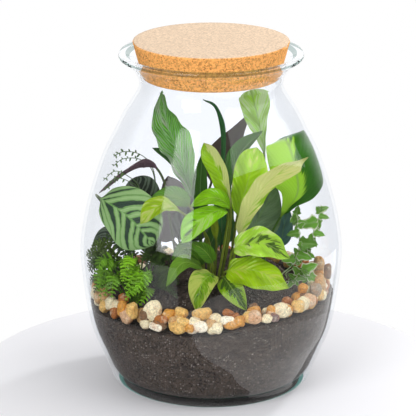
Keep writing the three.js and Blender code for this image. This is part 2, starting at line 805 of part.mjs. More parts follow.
function plantCreeper() {
  const random = seededRandom(5);
  CREEPER_SPRAYS.forEach(({ foot, stem, turns, bare }, number) => {
    const shape = { foot, rib: stem, face: SPRAY_FACE, fold: 0, slant: 0.15, across: 1 };
    const stations = creeperStations(turns, CREEPER_REACH, bare, random);
    const geometry = plantedLeaf({ ...shape, stemRadius: SPRAY_STEM_RADIUS }, stations);
    plants.push([`creeper_spray_${number + 1}`, geometry, COLOURS.creeper]);
    holes.push(stemHole(foot, SPRAY_STEM_RADIUS));
  });
}

plantLeaves("lime_leaf", LIME_LEAVES, COLOURS.lime);
plantLeaves("lily_leaf", LILY_LEAVES, COLOURS.lily);
plantLeaves("striped_leaf", STRIPED_LEAVES, COLOURS.striped);
plantFronds();
plantIvy();
plantCreeper();

// The whole terrarium
addPiece("glass_jar", revolve(jarProfile()), COLOURS.glass, 0.05, { transparent: true, opacity: 0.3 });
addPiece("cork_lid", revolve(CORK), COLOURS.cork, 0.85);
addPiece("soil", geometryOf(solidOf(soilGeometry()).subtract(fuse(holes))), COLOURS.soil, 0.95);

const stoneRandom = seededRandom(3);
const stoneCuts = [];
BIG_STONES.forEach((stone, number) => {
  const seed = Math.floor(stoneRandom() * 1000);
  const geometry = placedPebble(seededRandom(seed), stone, PEBBLE_DETAIL);
  stoneCuts.push(placedPebble(seededRandom(seed), stone, PEBBLE_DETAIL, GAP));
  addPiece(`stone_${String(number + 1).padStart(2, "0")}`, geometry, COLOURS[stone[5]], 0.7);
});
const ring = largestBody(ringStones().subtract(fuse(stoneCuts)));
addPiece("gravel_ring", geometryOf(ring), COLOURS.orange, 0.75);
plants.forEach(([name, geometry, colour]) => addPiece(name, geometry, colour));

export default terrarium;
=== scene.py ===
"""Planted glass terrarium: a bellied glass jar with a cork lid, soil, pebbles and foliage plants."""

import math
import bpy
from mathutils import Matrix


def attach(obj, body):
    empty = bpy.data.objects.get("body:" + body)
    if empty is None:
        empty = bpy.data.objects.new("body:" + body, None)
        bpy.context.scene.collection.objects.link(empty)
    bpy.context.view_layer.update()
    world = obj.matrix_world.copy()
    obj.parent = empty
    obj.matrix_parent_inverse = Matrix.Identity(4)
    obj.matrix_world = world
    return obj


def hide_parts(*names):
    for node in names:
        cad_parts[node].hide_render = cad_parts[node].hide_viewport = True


bl_info = {
    "name": "Planted glass terrarium",
    "version": (1, 0, 0),
    "blender": (4, 5, 0),
    "location": "View3D > Sidebar > Terrarium",
    "description": "Builds a corked glass jar with soil, pebbles and foliage plants piece by piece",
    "category": "Object",
}

import bmesh
import bpy
import numpy as np
from bpy.props import FloatProperty, FloatVectorProperty, IntProperty, PointerProperty
from mathutils import Euler, Matrix, Vector

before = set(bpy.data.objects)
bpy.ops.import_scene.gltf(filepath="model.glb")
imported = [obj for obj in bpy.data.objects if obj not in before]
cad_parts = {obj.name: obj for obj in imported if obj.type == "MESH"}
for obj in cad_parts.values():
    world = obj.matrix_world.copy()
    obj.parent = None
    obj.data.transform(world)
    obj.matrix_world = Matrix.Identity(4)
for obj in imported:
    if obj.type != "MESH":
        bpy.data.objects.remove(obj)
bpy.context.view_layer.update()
# Shapes are given in millimetres: x to the right, y to the back and z up from the stand.
MM = 0.001


def linear(code):
    """A linear colour, opaque, from an sRGB hex value."""
    channels = [int(code[k : k + 2], 16) / 255 for k in (0, 2, 4)]
    curve = [c / 12.92 if c <= 0.04045 else ((c + 0.055) / 1.055) ** 2.4 for c in channels]
    return (*curve, 1.0)


def colour_setting(name, description, code):
    """A colour that a user may change, with its default as an sRGB hex value."""
    return FloatVectorProperty(
        name=name, description=description, subtype="COLOR", size=3, min=0, max=1, default=linear(code)[:3]
    )


def texture_scale(size):
    """The scale of a texture whose cells or clouds have this size in millimetres."""
    return 1 / (size * MM)


def seeded_random(seed):
    """The same draws every time, from a whole-number seed."""
    state = seed

    def draw():
        nonlocal state
        state = (state * 1664525 + 1013904223) % 2**32
        return state / 2**32

    return draw


def smoothstep(value, low, high):
    """A share that rises smoothly from 0 at low to 1 at high."""
    share = np.clip((value - low) / (high - low), 0, 1)
    return share * share * (3 - 2 * share)


def curve_points(points, places):
    """Points at places 0 to 1 of the smooth curve through the given points, with even spans."""
    points = np.array(points, float)
    ends = np.vstack([2 * points[0] - points[1], points, 2 * points[-1] - points[-2]])
    spans = len(points) - 1
    at = np.clip(np.asarray(places, float), 0, 1) * spans
    span = np.minimum(at.astype(int), spans - 1)
    t = (at - span)[:, None]
    p0, p1, p2, p3 = (ends[span + k] for k in range(4))
    m1 = 0.5 * (p2 - p0)
    m2 = 0.5 * (p3 - p1)
    return (
        (2 * t**3 - 3 * t**2 + 1) * p1
        + (t**3 - 2 * t**2 + t) * m1
        + (-2 * t**3 + 3 * t**2) * p2
        + (t**3 - t**2) * m2
    )


def unit(vectors):
    """The vectors at length 1."""
    return vectors / np.maximum(np.linalg.norm(vectors, axis=-1, keepdims=True), 1e-9)


def new_piece(name, vertices, faces, material, replaced, attributes=None, sharp=50):
    """A mesh piece from points in millimetres, riding on the jar's body in place of the given nodes."""
    mesh = bpy.data.meshes.new(name)
    mesh.from_pydata((np.asarray(vertices, float) * MM).tolist(), [], faces)
    for key, values in (attributes or {}).items():
        values = np.asarray(values, np.float32)
        kind = {1: "FLOAT", 3: "FLOAT_VECTOR", 4: "FLOAT_COLOR"}[1 if values.ndim == 1 else values.shape[1]]
        field = {"FLOAT": "value", "FLOAT_VECTOR": "vector", "FLOAT_COLOR": "color"}[kind]
        mesh.attributes.new(key, kind, "POINT").data.foreach_set(field, values.ravel())
    mesh.polygons.foreach_set("use_smooth", [True] * len(mesh.polygons))
    if sharp:
        mesh.set_sharp_from_angle(angle=math.radians(sharp))
    mesh.materials.append(material)
    piece = bpy.data.objects.new(name, mesh)
    bpy.context.scene.collection.objects.link(piece)
    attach(piece, "root")
    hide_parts(*replaced)
    return piece


def closed_rings(points, sides, low, high):
    """Points and faces of a stack of rings, closed by a point on the axis at its low and high end."""
    faces = []
    top = len(points) - sides
    for ring in range(0, top, sides):
        for side in range(sides):
            a = ring + side
            b = ring + (side + 1) % sides
            faces.append((a, b, b + sides, a + sides))
    for side in range(sides):
        after = (side + 1) % sides
        faces.append((len(points), after, side))
        faces.append((len(points) + 1, top + side, top + after))
    return np.vstack([points, [0, 0, low], [0, 0, high]]), faces


def lathe(profile, segments, wave=None):
    """Points and faces of a profile of (radius, height) turned round the axis; its ends lie on the axis."""
    profile = np.asarray(profile, float)
    inner = profile[1:-1]
    bearings = np.linspace(0, 2 * np.pi, segments, endpoint=False)
    radius = np.repeat(inner[:, 0:1], segments, axis=1)
    if wave is not None:
        radius = radius + wave(bearings[None, :], inner[:, 1:2])
    x = radius * np.sin(bearings)
    y = -radius * np.cos(bearings)
    z = np.repeat(inner[:, 1:2], segments, axis=1)
    rings = np.stack([x, y, z], axis=-1).reshape(-1, 3)
    return closed_rings(rings, segments, profile[0, 1], profile[-1, 1])


# Radius and height along the glass: up the outside, over the lip into the mouth, and down to the floor.
JAR_OUTSIDE = [
    (70, 0),
    (78, 1),
    (84.1, 6),
    (87.7, 15),
    (93.9, 30),
    (101.9, 50),
    (106.8, 75),
    (109.8, 100),
    (110.5, 122),
    (106, 150),
    (99.2, 175),
    (90.4, 200),
    (80.5, 220),
    (73, 235),
    (66.7, 245),
    (62.3, 252),
    (59.8, 258),
]
JAR_MOUTH = [
    (61, 265.5),
    (65, 273),
    (71.5, 279),
    (75.8, 281.6),
    (77, 284),
    (75.6, 286.4),
    (72.6, 286.4),
    (69.5, 284.2),
    (64.4, 278.8),
    (60.4, 271),
    (58.2, 267.5),
]
JAR_FLOOR = [(82.6, 12), (76, 7), (60, 7)]
JAR_THROAT = (57.2, 260)
WALL = 3
# The inner wall is plain between its bend into the floor and its bend into the neck.
WALL_LOW = 16
WALL_HIGH = 252
NECK_HIGH = 256
# Nothing cuts into the glass: it is drawn this much thinner on its inside, leaves stay this far from it,
# and soil and stones a little further.
CLEARANCE = 0.3
GAP = 0.35
# A leaf that comes this near the glass is pressed flat against it.
PRESS = 3.5
# The thick glass is green in a ring under the foot. Where the soil stands behind it the glass is painted
# dark in the soil's colour, a painted shade for the soil seen through the thick foot.
FOOT_GREEN = 1.4
FOOT_RING = 75
FOOT_TOP = 8
FLOOR_EDGE = 77
# The lip starts at the neck, and its top is painted darker along its inner and outer edges: partly the
# green of thick glass, partly painted shade for the dark lines its rounded edges show.
LIP_LOW = 262
RIM_LOW = 283
EDGE_IN = 71.4
EDGE_OUT = 76.7
# How much the thin wall and the thick lip bend what is seen through them.
THIN_BEND = 1.0
THICK_BEND = 1.015
# Steps for each span of the jar's wall and lip.
SPAN_STEPS = 6


def smooth_profile(points, steps):
    """The smooth curve through a profile's points, in so many steps for each span."""
    places = np.linspace(0, 1, (len(points) - 1) * steps + 1)
    return curve_points(points, places)


OUTSIDE_FINE = smooth_profile(JAR_OUTSIDE, SPAN_STEPS)


def glass_inside(height):
    """Radius of the jar's inner wall at a height between its floor and its neck."""
    return np.interp(height, OUTSIDE_FINE[:, 1], OUTSIDE_FINE[:, 0]) - WALL


def even_wall(profile, wall):
    """The profile moved inwards by the wall's thickness, measured square to it."""
    ahead = np.gradient(profile, axis=0)
    ahead = ahead / np.linalg.norm(ahead, axis=1, keepdims=True)
    return profile + wall * np.stack([-ahead[:, 1], ahead[:, 0]], axis=1)


def add_node(tree, kind, settings=None):
    """A node with its settings and links: lower-case keys are its own, the rest are its sockets."""
    node = tree.nodes.new(kind)
    for key, value in (settings or {}).items():
        if isinstance(value, bpy.types.NodeSocket):
            tree.links.new(value, node.inputs[key])
        elif isinstance(key, str) and hasattr(node, key):
            setattr(node, key, value)
        else:
            node.inputs[key].default_value = value
    return node


def weighted(tree, terms, constant=0.0):
    """A socket for a constant plus each socket times its weight."""
    total = constant
    for weight, socket in terms:
        total = add_node(
            tree, "ShaderNodeMath", {"operation": "MULTIPLY_ADD", 0: socket, 1: float(weight), 2: total}
        ).outputs[0]
    return total


def layered(tree, colour, layers):
    """A colour with others laid over it in turn, each as how it blends, its share and its colour."""
    for how, share, over in layers:
        settings = {"data_type": "RGBA", "blend_type": how, 0: share, 6: colour, 7: over}
        colour = add_node(tree, "ShaderNodeMix", settings).outputs[2]
    return colour


def new_material(name):
    """An empty node material and its tree."""
    material = bpy.data.materials.new(name)
    material.use_nodes = True
    material.node_tree.nodes.clear()
    return material, material.node_tree


def finish_material(tree, shader):
    """Link the shader to the material's output."""
    output = add_node(tree, "ShaderNodeOutputMaterial")
    tree.links.new(shader, output.inputs["Surface"])


def clear_to_shadows(tree, glass):
    """Mix the glass with a clear shader, so that light and shade pass through it."""
    clear = add_node(tree, "ShaderNodeBsdfTransparent", {"Color": linear("FCFDFD")})
    rays = add_node(tree, "ShaderNodeLightPath")
    either = add_node(
        tree,
        "ShaderNodeMath",
        {"operation": "MAXIMUM", 0: rays.outputs["Is Shadow Ray"], 1: rays.outputs["Is Diffuse Ray"]},
    ).outputs[0]
    return add_node(tree, "ShaderNodeMixShader", {0: either, 1: glass.outputs[0], 2: clear.outputs[0]})


def blown_glass(name, colour, bend, edge_on=None):
    """Soda-lime glass, blown: clear and very smooth, and a shade darker where it is seen edge on.

    The gloss is that of glass. The wall is thin and even and shifts what is seen through it by less than
    a millimetre, so its IOR is 1, and little more in the lip. That also keeps light from being caught.
    """
    material, tree = new_material(name)
    tint = (*colour, 1.0)
    if edge_on:
        slant = add_node(tree, "ShaderNodeLayerWeight", {"Blend": 0.25}).outputs["Facing"]
        thick = add_node(
            tree, "ShaderNodeMapRange", {"From Min": 0.55, "From Max": 0.95, "Value": slant}
        ).outputs[0]
        tint = layered(tree, tint, [("MIX", thick, (*edge_on, 1.0))])
    glass = add_node(
        tree,
        "ShaderNodeBsdfPrincipled",
        {
            "Base Color": tint,
            "Roughness": 0.0,
            "IOR": bend,
            "Transmission Weight": 1.0,
            "Coat Weight": 0.6,
            "Coat Roughness": 0.0,
            "Coat IOR": 1.5,
        },
    )
    finish_material(tree, clear_to_shadows(tree, glass).outputs[0])
    return material


class JarSettings(bpy.types.PropertyGroup):
    """The jar's colours and how finely it is turned"""

    tint: colour_setting("Glass tint", "Colour of thin glass", "FAFCFF")
    thick: colour_setting("Thick", "Colour of glass seen edge on", "F2F6FA")
    # Painted shade: the foot is painted this dark colour where the soil is seen through it.
    shade: colour_setting("Shade", "Colour of the foot under the soil", "464340")
    foot: colour_setting("Foot", "Colour of the thick foot seen edge on", "3C9684")
    # Painted shade, with the green of thick glass: the colour of the dark lines along the lip's edges.
    edge: colour_setting("Edge", "Colour of the lip's edges", "8CA09B")
    segments: IntProperty(name="Segments", description="Steps round the jar", min=32, max=256, default=160)


def glass_kind(radius, height):
    """Which of the jar's glasses a face has: 0 clear, 1 shaded foot, 2 green foot, 3 lip, 4 lip's edge."""
    if height < FOOT_GREEN and radius > FOOT_RING:
        return 2
    # The foot's floor and underside are painted dark as painted shade.
    if height < FOOT_TOP and radius < FLOOR_EDGE:
        return 1
    # The lip's top is painted darker along its edges, as painted shade.
    if height > RIM_LOW and not EDGE_IN < radius < EDGE_OUT:
        return 4
    return 3 if height > LIP_LOW else 0


class TERRARIUM_OT_glass_jar(bpy.types.Operator):
    """Blow the bellied jar with its flared lip"""

    bl_idname = "terrarium.glass_jar"
    bl_label = "Glass jar"

    def execute(self, context):
        settings = context.scene.terrarium.jar
        inside = even_wall(OUTSIDE_FINE, WALL - CLEARANCE)[::-1]
        inside = [(radius, height) for radius, height in inside if WALL_LOW < height < WALL_HIGH]
        around = [JAR_OUTSIDE[-1], *JAR_MOUTH, JAR_THROAT, inside[0]]
        # Four spans before the mouth and one after it only make its ends run on smoothly.
        mouth = smooth_profile([*OUTSIDE_FINE[-12:-1:3], *around, inside[3]], SPAN_STEPS)
        mouth = mouth[4 * SPAN_STEPS : -SPAN_STEPS]
        floor = smooth_profile([inside[-1], *JAR_FLOOR], 4)[1:]
        level = JAR_FLOOR[-1][1]
        glass = [*OUTSIDE_FINE[:-1], *mouth, *inside[1:], *floor]
        profile = [(0, 0), (40, 0), *glass, (30, level), (0, level)]
        vertices, faces = lathe(profile, settings.segments)
        glasses = [
            blown_glass("blown soda-lime glass", settings.tint, THIN_BEND, settings.thick),
            # Painted shade: the foot where the soil is seen through it.
            blown_glass("shaded glass foot", settings.shade, THIN_BEND),
            blown_glass("green glass foot", settings.foot, THIN_BEND),
            blown_glass("fire-polished glass lip", settings.tint, THICK_BEND, settings.thick),
            # Painted shade: the dark lines along the lip's edges.
            blown_glass("fire-polished glass edge", settings.edge, THICK_BEND),
        ]
        jar = new_piece("blown_jar", vertices, faces, glasses[0], ["glass_jar"], sharp=0)
        for other in glasses[1:]:
            jar.data.materials.append(other)
        for face in jar.data.polygons:
            x, y, height = face.center / MM
            face.material_index = glass_kind(math.hypot(x, y), height)
        return {"FINISHED"}


# Radius and height of the lid's edges: under it, up its tapered side, and round to its top.
CORK = [(56.4, 265.5), (57.6, 266.7), (65.2, 295), (64.8, 295.9), (63.9, 296.3)]
LID_SIDES = 192
SIDE_RINGS = 24
TOP_RINGS = 15
TOP_STEP = 3.9
# Depth of the crumbled places and of the fine pits on the sawn side.
CRUMBLE = 0.12
FINE_PIT = 0.1
# A crumb is missing from the rim at the right of the front, and takes it inwards a little too.
CHIP = (61.5, -17.5, 296.0)
CHIP_REACH = 4.5
CHIP_DEPTH = 2.2
CHIP_INWARDS = 0.3
CHIP_LOW = 285
LID_RADIUS = 65
# Width of the fine pits in the cork.
PIT = 2


def pressed_cork(settings):
    """Pressed cork, sawn and sanded: matt, with tan granules of 1 to 2 mm and dark bark flecks."""
    material, tree = new_material("pressed cork")
    place = add_node(tree, "ShaderNodeTexCoord").outputs["Object"]
    granules = add_node(tree, "ShaderNodeTexVoronoi", {"Scale": 1 / settings.granule, "Vector": place})
    shade = add_node(tree, "ShaderNodeSeparateColor", {0: granules.outputs["Color"]})
    geometry = add_node(tree, "ShaderNodeNewGeometry")
    facing = add_node(tree, "ShaderNodeSeparateXYZ", {0: geometry.outputs["Normal"]}).outputs["Z"]
    topness = add_node(
        tree, "ShaderNodeMapRange", {"From Min": 0.5, "From Max": 0.9, "Value": facing}
    ).outputs[0]
    # Granules differ in tone, less on the sanded top than on the sawn side.
    depth = add_node(
        tree, "ShaderNodeMapRange", {"To Min": 0.7, "To Max": 0.92, "Value": topness}
    ).outputs[0]
    tone = add_node(
        tree, "ShaderNodeMapRange", {"To Min": depth, "To Max": 1.3, "Value": shade.outputs["Red"]}
    ).outputs[0]
    # One granule in ten is bark, and darker than the rest.
    chance = add_node(
        tree, "ShaderNodeMath", {"operation": "GREATER_THAN", 0: shade.outputs["Green"], 1: 0.9}
    ).outputs[0]
    strong = add_node(
        tree, "ShaderNodeMapRange", {"To Min": 0.5, "To Max": 0.12, "Value": topness}
    ).outputs[0]
    bark = add_node(tree, "ShaderNodeMath", {"operation": "MULTIPLY", 0: chance, 1: strong}).outputs[0]
    layers = [
        ("MIX", topness, (*settings.top, 1.0)),
        ("MULTIPLY", 1.0, tone),
        ("MIX", bark, (*settings.fleck, 1.0)),
    ]
    colour = layered(tree, (*settings.side, 1.0), layers)
    pits = add_node(
        tree, "ShaderNodeTexNoise", {"Scale": texture_scale(PIT), "Detail": 3.0, "Vector": place}
    )
    bump = add_node(
        tree, "ShaderNodeBump", {"Strength": 0.5, "Distance": 0.0003, "Height": pits.outputs["Fac"]}
    )
    cork = add_node(
        tree,
        "ShaderNodeBsdfPrincipled",
        {"Roughness": 0.9, "IOR": 1.4, "Base Color": colour, "Normal": bump.outputs["Normal"]},
    )
    finish_material(tree, cork.outputs[0])
    return material


class CorkSettings(bpy.types.PropertyGroup):
    """The lid's colours and the width of its granules"""

    side: colour_setting("Side", "Colour of the lid's side", "FAB264")
    top: colour_setting("Top", "Colour of the lid's top", "D9C1A7")
    fleck: colour_setting("Flecks", "Colour of bark in the cork", "8C4210")
    granule: FloatProperty(
        name="Granule", description="Width of one cork granule", unit="LENGTH", min=0.001, default=0.0012
    )


class TERRARIUM_OT_cork_lid(bpy.types.Operator):
    """Turn the tapered cork lid with its softened edges and pitted skin"""

    bl_idname = "terrarium.cork_lid"
    bl_label = "Cork lid"

    def execute(self, context):
        settings = context.scene.terrarium.cork
        under, side_low, side_high, shoulder, rim = CORK
        low, high = under[1], rim[1]
        side = np.linspace(side_low, side_high, SIDE_RINGS + 1)
        top = [(rim[0] - TOP_STEP * ring, high) for ring in range(1, TOP_RINGS + 1)]
        profile = [(0, low), (30, low), under, *side, shoulder, rim, *top, (0, high)]

        def pits(bearings, heights):
            crumble = np.sin(37 * bearings + heights) * np.sin(0.9 * heights + 11 * bearings)
            fine = np.sin(83 * bearings - 1.7 * heights) * np.sin(2.3 * heights)
            return np.where(heights < high, -CRUMBLE * np.abs(crumble) - FINE_PIT * np.abs(fine), 0)

        vertices, faces = lathe(profile, LID_SIDES, pits)
        away = np.linalg.norm(vertices - CHIP, axis=1)
        depth = CHIP_DEPTH * np.clip(1 - away / CHIP_REACH, 0, 1)
        vertices[:, 2] -= np.where(vertices[:, 2] > CHIP_LOW, depth, 0)
        vertices[:, :2] *= 1 - (CHIP_INWARDS * depth / LID_RADIUS)[:, None]
        new_piece("cork_disc", vertices, faces, pressed_cork(settings), ["cork_lid"])
        return {"FINISHED"}


# Height of the soil at its rim, left and right, and on the mound between its two radii.
SOIL = {"left": 70, "right": 78, "middle": 97, "middle_radius": 52, "foot_radius": 82}
# Radius and height of the soil's underside, which follows the jar's floor.
SOIL_BOTTOM = 7.35
SOIL_FOOT = [(75, SOIL_BOTTOM), (82, 12.4)]
SOIL_SIDES = 180
WALL_RINGS = 30
MOUND_RINGS = 62
# Radius where the soil's top meets the glass, and of the first and last ring of its top.
SOIL_EDGE = 102
TOP_RADII = (100, 2)
# How far crumbs lie back from the glass, and how far out and up they lie on the soil's top.
CRUMB_BACK = 0.5
CRUMB_OUT = 0.6
CRUMB_UP = 1.6
# Sizes of what the soil's texture shows: clods, and grains of sand with the soil between them.
CLOD = 16.667
SAND_SPACING = 1.7857


def soil_height(x, y):
    """Height of the soil's top: low at the glass and mounded over the root balls."""
    rim = SOIL["left"] + (SOIL["right"] - SOIL["left"]) * smoothstep(x, -5, 35)
    radius = np.hypot(x, y)
    rise = 1 - smoothstep(radius, SOIL["middle_radius"], SOIL["foot_radius"])
    lumps = 1.2 * np.sin(x * 0.21 + 1) * np.cos(y * 0.17)
    return rim + (SOIL["middle"] + lumps - rim) * rise


def potting_soil(settings):
    """Peat potting soil, damp: almost black, matt and crumbly, with pale specks of sand."""
    material, tree = new_material("damp peat soil")
    place = add_node(tree, "ShaderNodeTexCoord").outputs["Object"]
    crumbs = add_node(tree, "ShaderNodeTexVoronoi", {"Scale": 1 / settings.crumb, "Vector": place})
    shade = add_node(tree, "ShaderNodeSeparateColor", {0: crumbs.outputs["Color"]})
    cloud = add_node(
        tree,
        "ShaderNodeTexNoise",
        {"Scale": texture_scale(CLOD), "Detail": 8.0, "Roughness": 0.7, "Vector": place},
    ).outputs["Fac"]
    mixed = weighted(tree, [(0.7, shade.outputs["Green"]), (1, cloud)])
    tone = add_node(
        tree, "ShaderNodeMapRange", {"From Min": 0.35, "From Max": 1.3, "Value": mixed}
    ).outputs[0]
    # The grains of sand are drawn 1 mm across, coarser than they are, so that they show.
    sand = add_node(tree, "ShaderNodeTexVoronoi", {"Scale": texture_scale(SAND_SPACING), "Vector": place})
    chance = add_node(tree, "ShaderNodeSeparateColor", {0: sand.outputs["Color"]}).outputs["Red"]
    rare = add_node(
        tree, "ShaderNodeMapRange", {"From Min": 0.68, "From Max": 1.15, "Value": chance}
    ).outputs[0]
    near = add_node(
        tree, "ShaderNodeMapRange", {"From Min": 0.45, "From Max": 0.2, "Value": sand.outputs["Distance"]}
    ).outputs[0]
    specks = add_node(tree, "ShaderNodeMath", {"operation": "MULTIPLY", 0: rare, 1: near}).outputs[0]
    colour = layered(
        tree,
        (*settings.dark, 1.0),
        [("MIX", tone, (*settings.light, 1.0)), ("MIX", specks, (*settings.sand, 1.0))],
    )
    bump = add_node(tree, "ShaderNodeBump", {"Strength": 0.9, "Distance": 0.0012, "Height": cloud})
    soil = add_node(
        tree,
        "ShaderNodeBsdfPrincipled",
        {"Roughness": 0.9, "IOR": 1.3, "Base Color": colour, "Normal": bump.outputs["Normal"]},
    )
    finish_material(tree, soil.outputs[0])
    return material


class SoilSettings(bpy.types.PropertyGroup):
    """The soil's colours and the width of its crumbs"""

    dark: colour_setting("Dark", "Colour of damp peat", "17110D")
    light: colour_setting("Light", "Colour of drier crumbs", "54473E")
    sand: colour_setting("Sand", "Colour of the specks", "BEB4AA")
    crumb: FloatProperty(
        name="Crumb", description="Width of one crumb", unit="LENGTH", min=0.0005, default=0.0018
    )


class TERRARIUM_OT_soil(bpy.types.Operator):
    """Fill the jar with crumbly soil, raised round the root balls"""

    bl_idname = "terrarium.soil"
    bl_label = "Soil"

    def execute(self, context):
        bearings = np.linspace(0, 2 * np.pi, SOIL_SIDES, endpoint=False)
        across = np.sin(bearings)
        front = -np.cos(bearings)
        draw = np.random.default_rng(4)
        rings = []

        def ring_at(radius, height):
            rings.append(np.stack([radius * across, radius * front, height + 0 * bearings], axis=-1))

        for radius, height in SOIL_FOOT:
            ring_at(radius, height)
        top_line = soil_height(SOIL_EDGE * across, SOIL_EDGE * front)
        for share in np.linspace(0, 1, WALL_RINGS):
            height = WALL_LOW + (top_line - WALL_LOW) * share
            crumble = CRUMB_BACK * draw.random(SOIL_SIDES) ** 2
            ring_at(glass_inside(height) - GAP - crumble, height)
        for radius in np.linspace(*TOP_RADII, MOUND_RINGS):
            height = soil_height(radius * across, radius * front)
            # The mound is rougher than the soil between the pebbles.
            rough = 0.45 + 0.75 * smoothstep(radius, 96, 80)
            loose = radius + CRUMB_OUT * draw.random(SOIL_SIDES)
            ring_at(loose, height + rough * (draw.random(SOIL_SIDES) - 0.5) * CRUMB_UP)
        vertices, faces = closed_rings(np.vstack(rings), SOIL_SIDES, SOIL_BOTTOM, soil_height(0, 0))
        material = potting_soil(context.scene.terrarium.soil)
        new_piece("potting_soil", vertices, faces, material, ["soil"], sharp=0)
        return {"FINISHED"}


STONE_COLOURS = {
    "cream": "F5E6BE",
    "white": "FFF5DC",
    "yellow": "EBBE6E",
    "orange": "D7963C",
    "rust": "AA6428",
    "tan": "CDA36C",
    "pink": "D7AA82",
    "grey": "A99A86",
    "brown": "7B5A3C",
    "purple": "7F635E",
}
# Bearing from the front in degrees, distance from the axis, height, width, own height, colour.
BIG_STONES = [
    (-31, 93, 86, 18, 19, "cream"),
    (-62, 95, 81, 13, 13, "cream"),
    (-74, 98, 80, 12, 12, "tan"),
    (-43, 96, 83, 12, 16, "yellow"),
    (21, 98, 84, 13, 12, "pink"),
    (36, 97, 86, 15, 14, "cream"),
    (47, 98, 86, 12, 12, "yellow"),
    (56, 98, 87, 13, 12, "pink"),
    (66, 96, 92, 12, 13, "grey"),
    (101, 94, 95, 12, 15, "tan"),
    (86, 99, 97, 8, 15, "brown"),
]
SMALL_STONES = [
    (-48, 99, 84, 9, 15, "orange"),
    (-54, 90, 88, 10, 9, "rust"),
    (-90, 98, 81, 11, 10, "tan"),
    (-80, 98, 91, 8, 9, "orange"),
    (-22, 92, 85, 11, 11, "orange"),
    (-16, 90, 87, 12, 10, "yellow"),
    (-14, 97, 82, 12, 8, "yellow"),
    (-18, 98, 78, 10, 9, "yellow"),
    (-10, 99, 78, 8, 8, "orange"),
    (-5, 98, 79, 13, 10, "white"),
    (-27, 100, 76, 13, 7, "white"),
    (-5, 88, 86, 18, 12, "yellow"),
    (2, 93, 84, 11, 10, "cream"),
    (3, 99, 78, 9, 10, "cream"),
    (8, 95, 83, 14, 8, "white"),
    (9, 88, 87, 10, 7, "rust"),
    (14, 98, 83, 9, 10, "orange"),
    (25, 82, 87, 9, 8, "brown"),
    (27, 100, 80, 10, 8, "cream"),
    (31, 100, 80, 9, 8, "purple"),
    (58, 90, 95, 9, 9, "orange"),
    (56, 91, 88, 8, 8, "brown"),
    (68, 98, 98, 9, 13, "tan"),
    (71, 98, 92, 8, 13, "tan"),
    (70, 98, 85, 10, 11, "cream"),
    (56, 96, 83, 12, 9, "tan"),
    (66, 94, 86, 12, 10, "cream"),
    (101, 93, 86, 13, 11, "orange"),
    (86, 93, 86, 13, 13, "cream"),
]
# A pebble is a little less deep than it is wide or tall, and never deeper than this.
DEPTH_SHARE = 0.92
MOST_DEEP = 10
# How often the ball behind a pebble is divided, where it is listed and where it only fills the ring.
FINE_BALL = 4
PLAIN_BALL = 3
COMMON_COLOURS = ["cream", "yellow", "orange", "tan", "yellow", "cream", "rust", "pink", "white", "brown"]
# Distance from the axis, height, width and own height of the stones in each row of the filling, and how
# many stones its inner row has.
FILLING_ROWS = [(98, 0, 13, 11), (89, 0, 13, 11), (97, 80, 12, 10)]
INNER_ROW = 34
# A pebble's form: round at 2 and more of a block above that. Its half is a little less than half its size,
# as its lumps stand out from it.
BLOCKY = 2.6
HALF = 0.46
ANY_PHASE = 6.28
# How often each wave turns over a pebble, and how deep it is as a share of the radius.
LUMPS = [(4, 0.055), (4.5, 0.05), (5, 0.04), (9, 0.02), (12, 0.018), (17, 0.014), (22, 0.012)]
# Sizes of what the pebbles' texture shows: clouds of stain, and grains.
STAIN = 8.3333
GRAIN = 1.4286


def ball(subdivisions):
    """Points and faces of an even ball one unit across."""
    shape = bmesh.new()
    bmesh.ops.create_icosphere(shape, subdivisions=subdivisions, radius=0.5)
    shape.verts.ensure_lookup_table()
    points = np.array([vertex.co[:] for vertex in shape.verts])
    faces = [tuple(vertex.index for vertex in face.verts) for face in shape.faces]
    shape.free()
    return points, faces


def pebble_points(draw, points, size):
    """A ball made into a worn pebble: a rounded block with shallow lumps, flats and pits."""
    way = unit(points)
    block = np.sum(np.abs(way) ** BLOCKY, axis=1) ** (-1 / BLOCKY)
    lump = np.ones(len(points))
    for turns, depth in LUMPS:
        axis = unit(np.array([draw() - 0.5, draw() - 0.5, draw() - 0.5]))
        lump += depth * np.sin(turns * (way @ axis) + ANY_PHASE * draw())
    turned = way * (block * lump * HALF)[:, None]
    lean = 0.5 * (draw() - 0.5)
    cosine, sine = math.cos(lean), math.sin(lean)
    x = turned[:, 0] * size[0]
    z = turned[:, 2] * size[2]
    return np.stack([x * cosine - z * sine, turned[:, 1] * size[1], x * sine + z * cosine], axis=-1)


def placed_pebble(draw, stone, form):
    """The points of one pebble, turned to face the glass and lying on the soil at the lowest."""
    bearing, distance, height, width, tall = stone[:5]
    deep = min(DEPTH_SHARE * width, DEPTH_SHARE * tall, MOST_DEEP)
    angle = math.radians(bearing)
    x = distance * math.sin(angle)
    y = -distance * math.cos(angle)
    lowest = float(soil_height(x, y)) + 1.5 * GAP + 0.55 * tall
    points = pebble_points(draw, form, (width, deep, tall))
    cosine, sine = math.cos(angle), math.sin(angle)
    turned = points @ np.array([[cosine, sine, 0], [-sine, cosine, 0], [0, 0, 1]])
    return turned + np.array([x, y, max(height, lowest)])


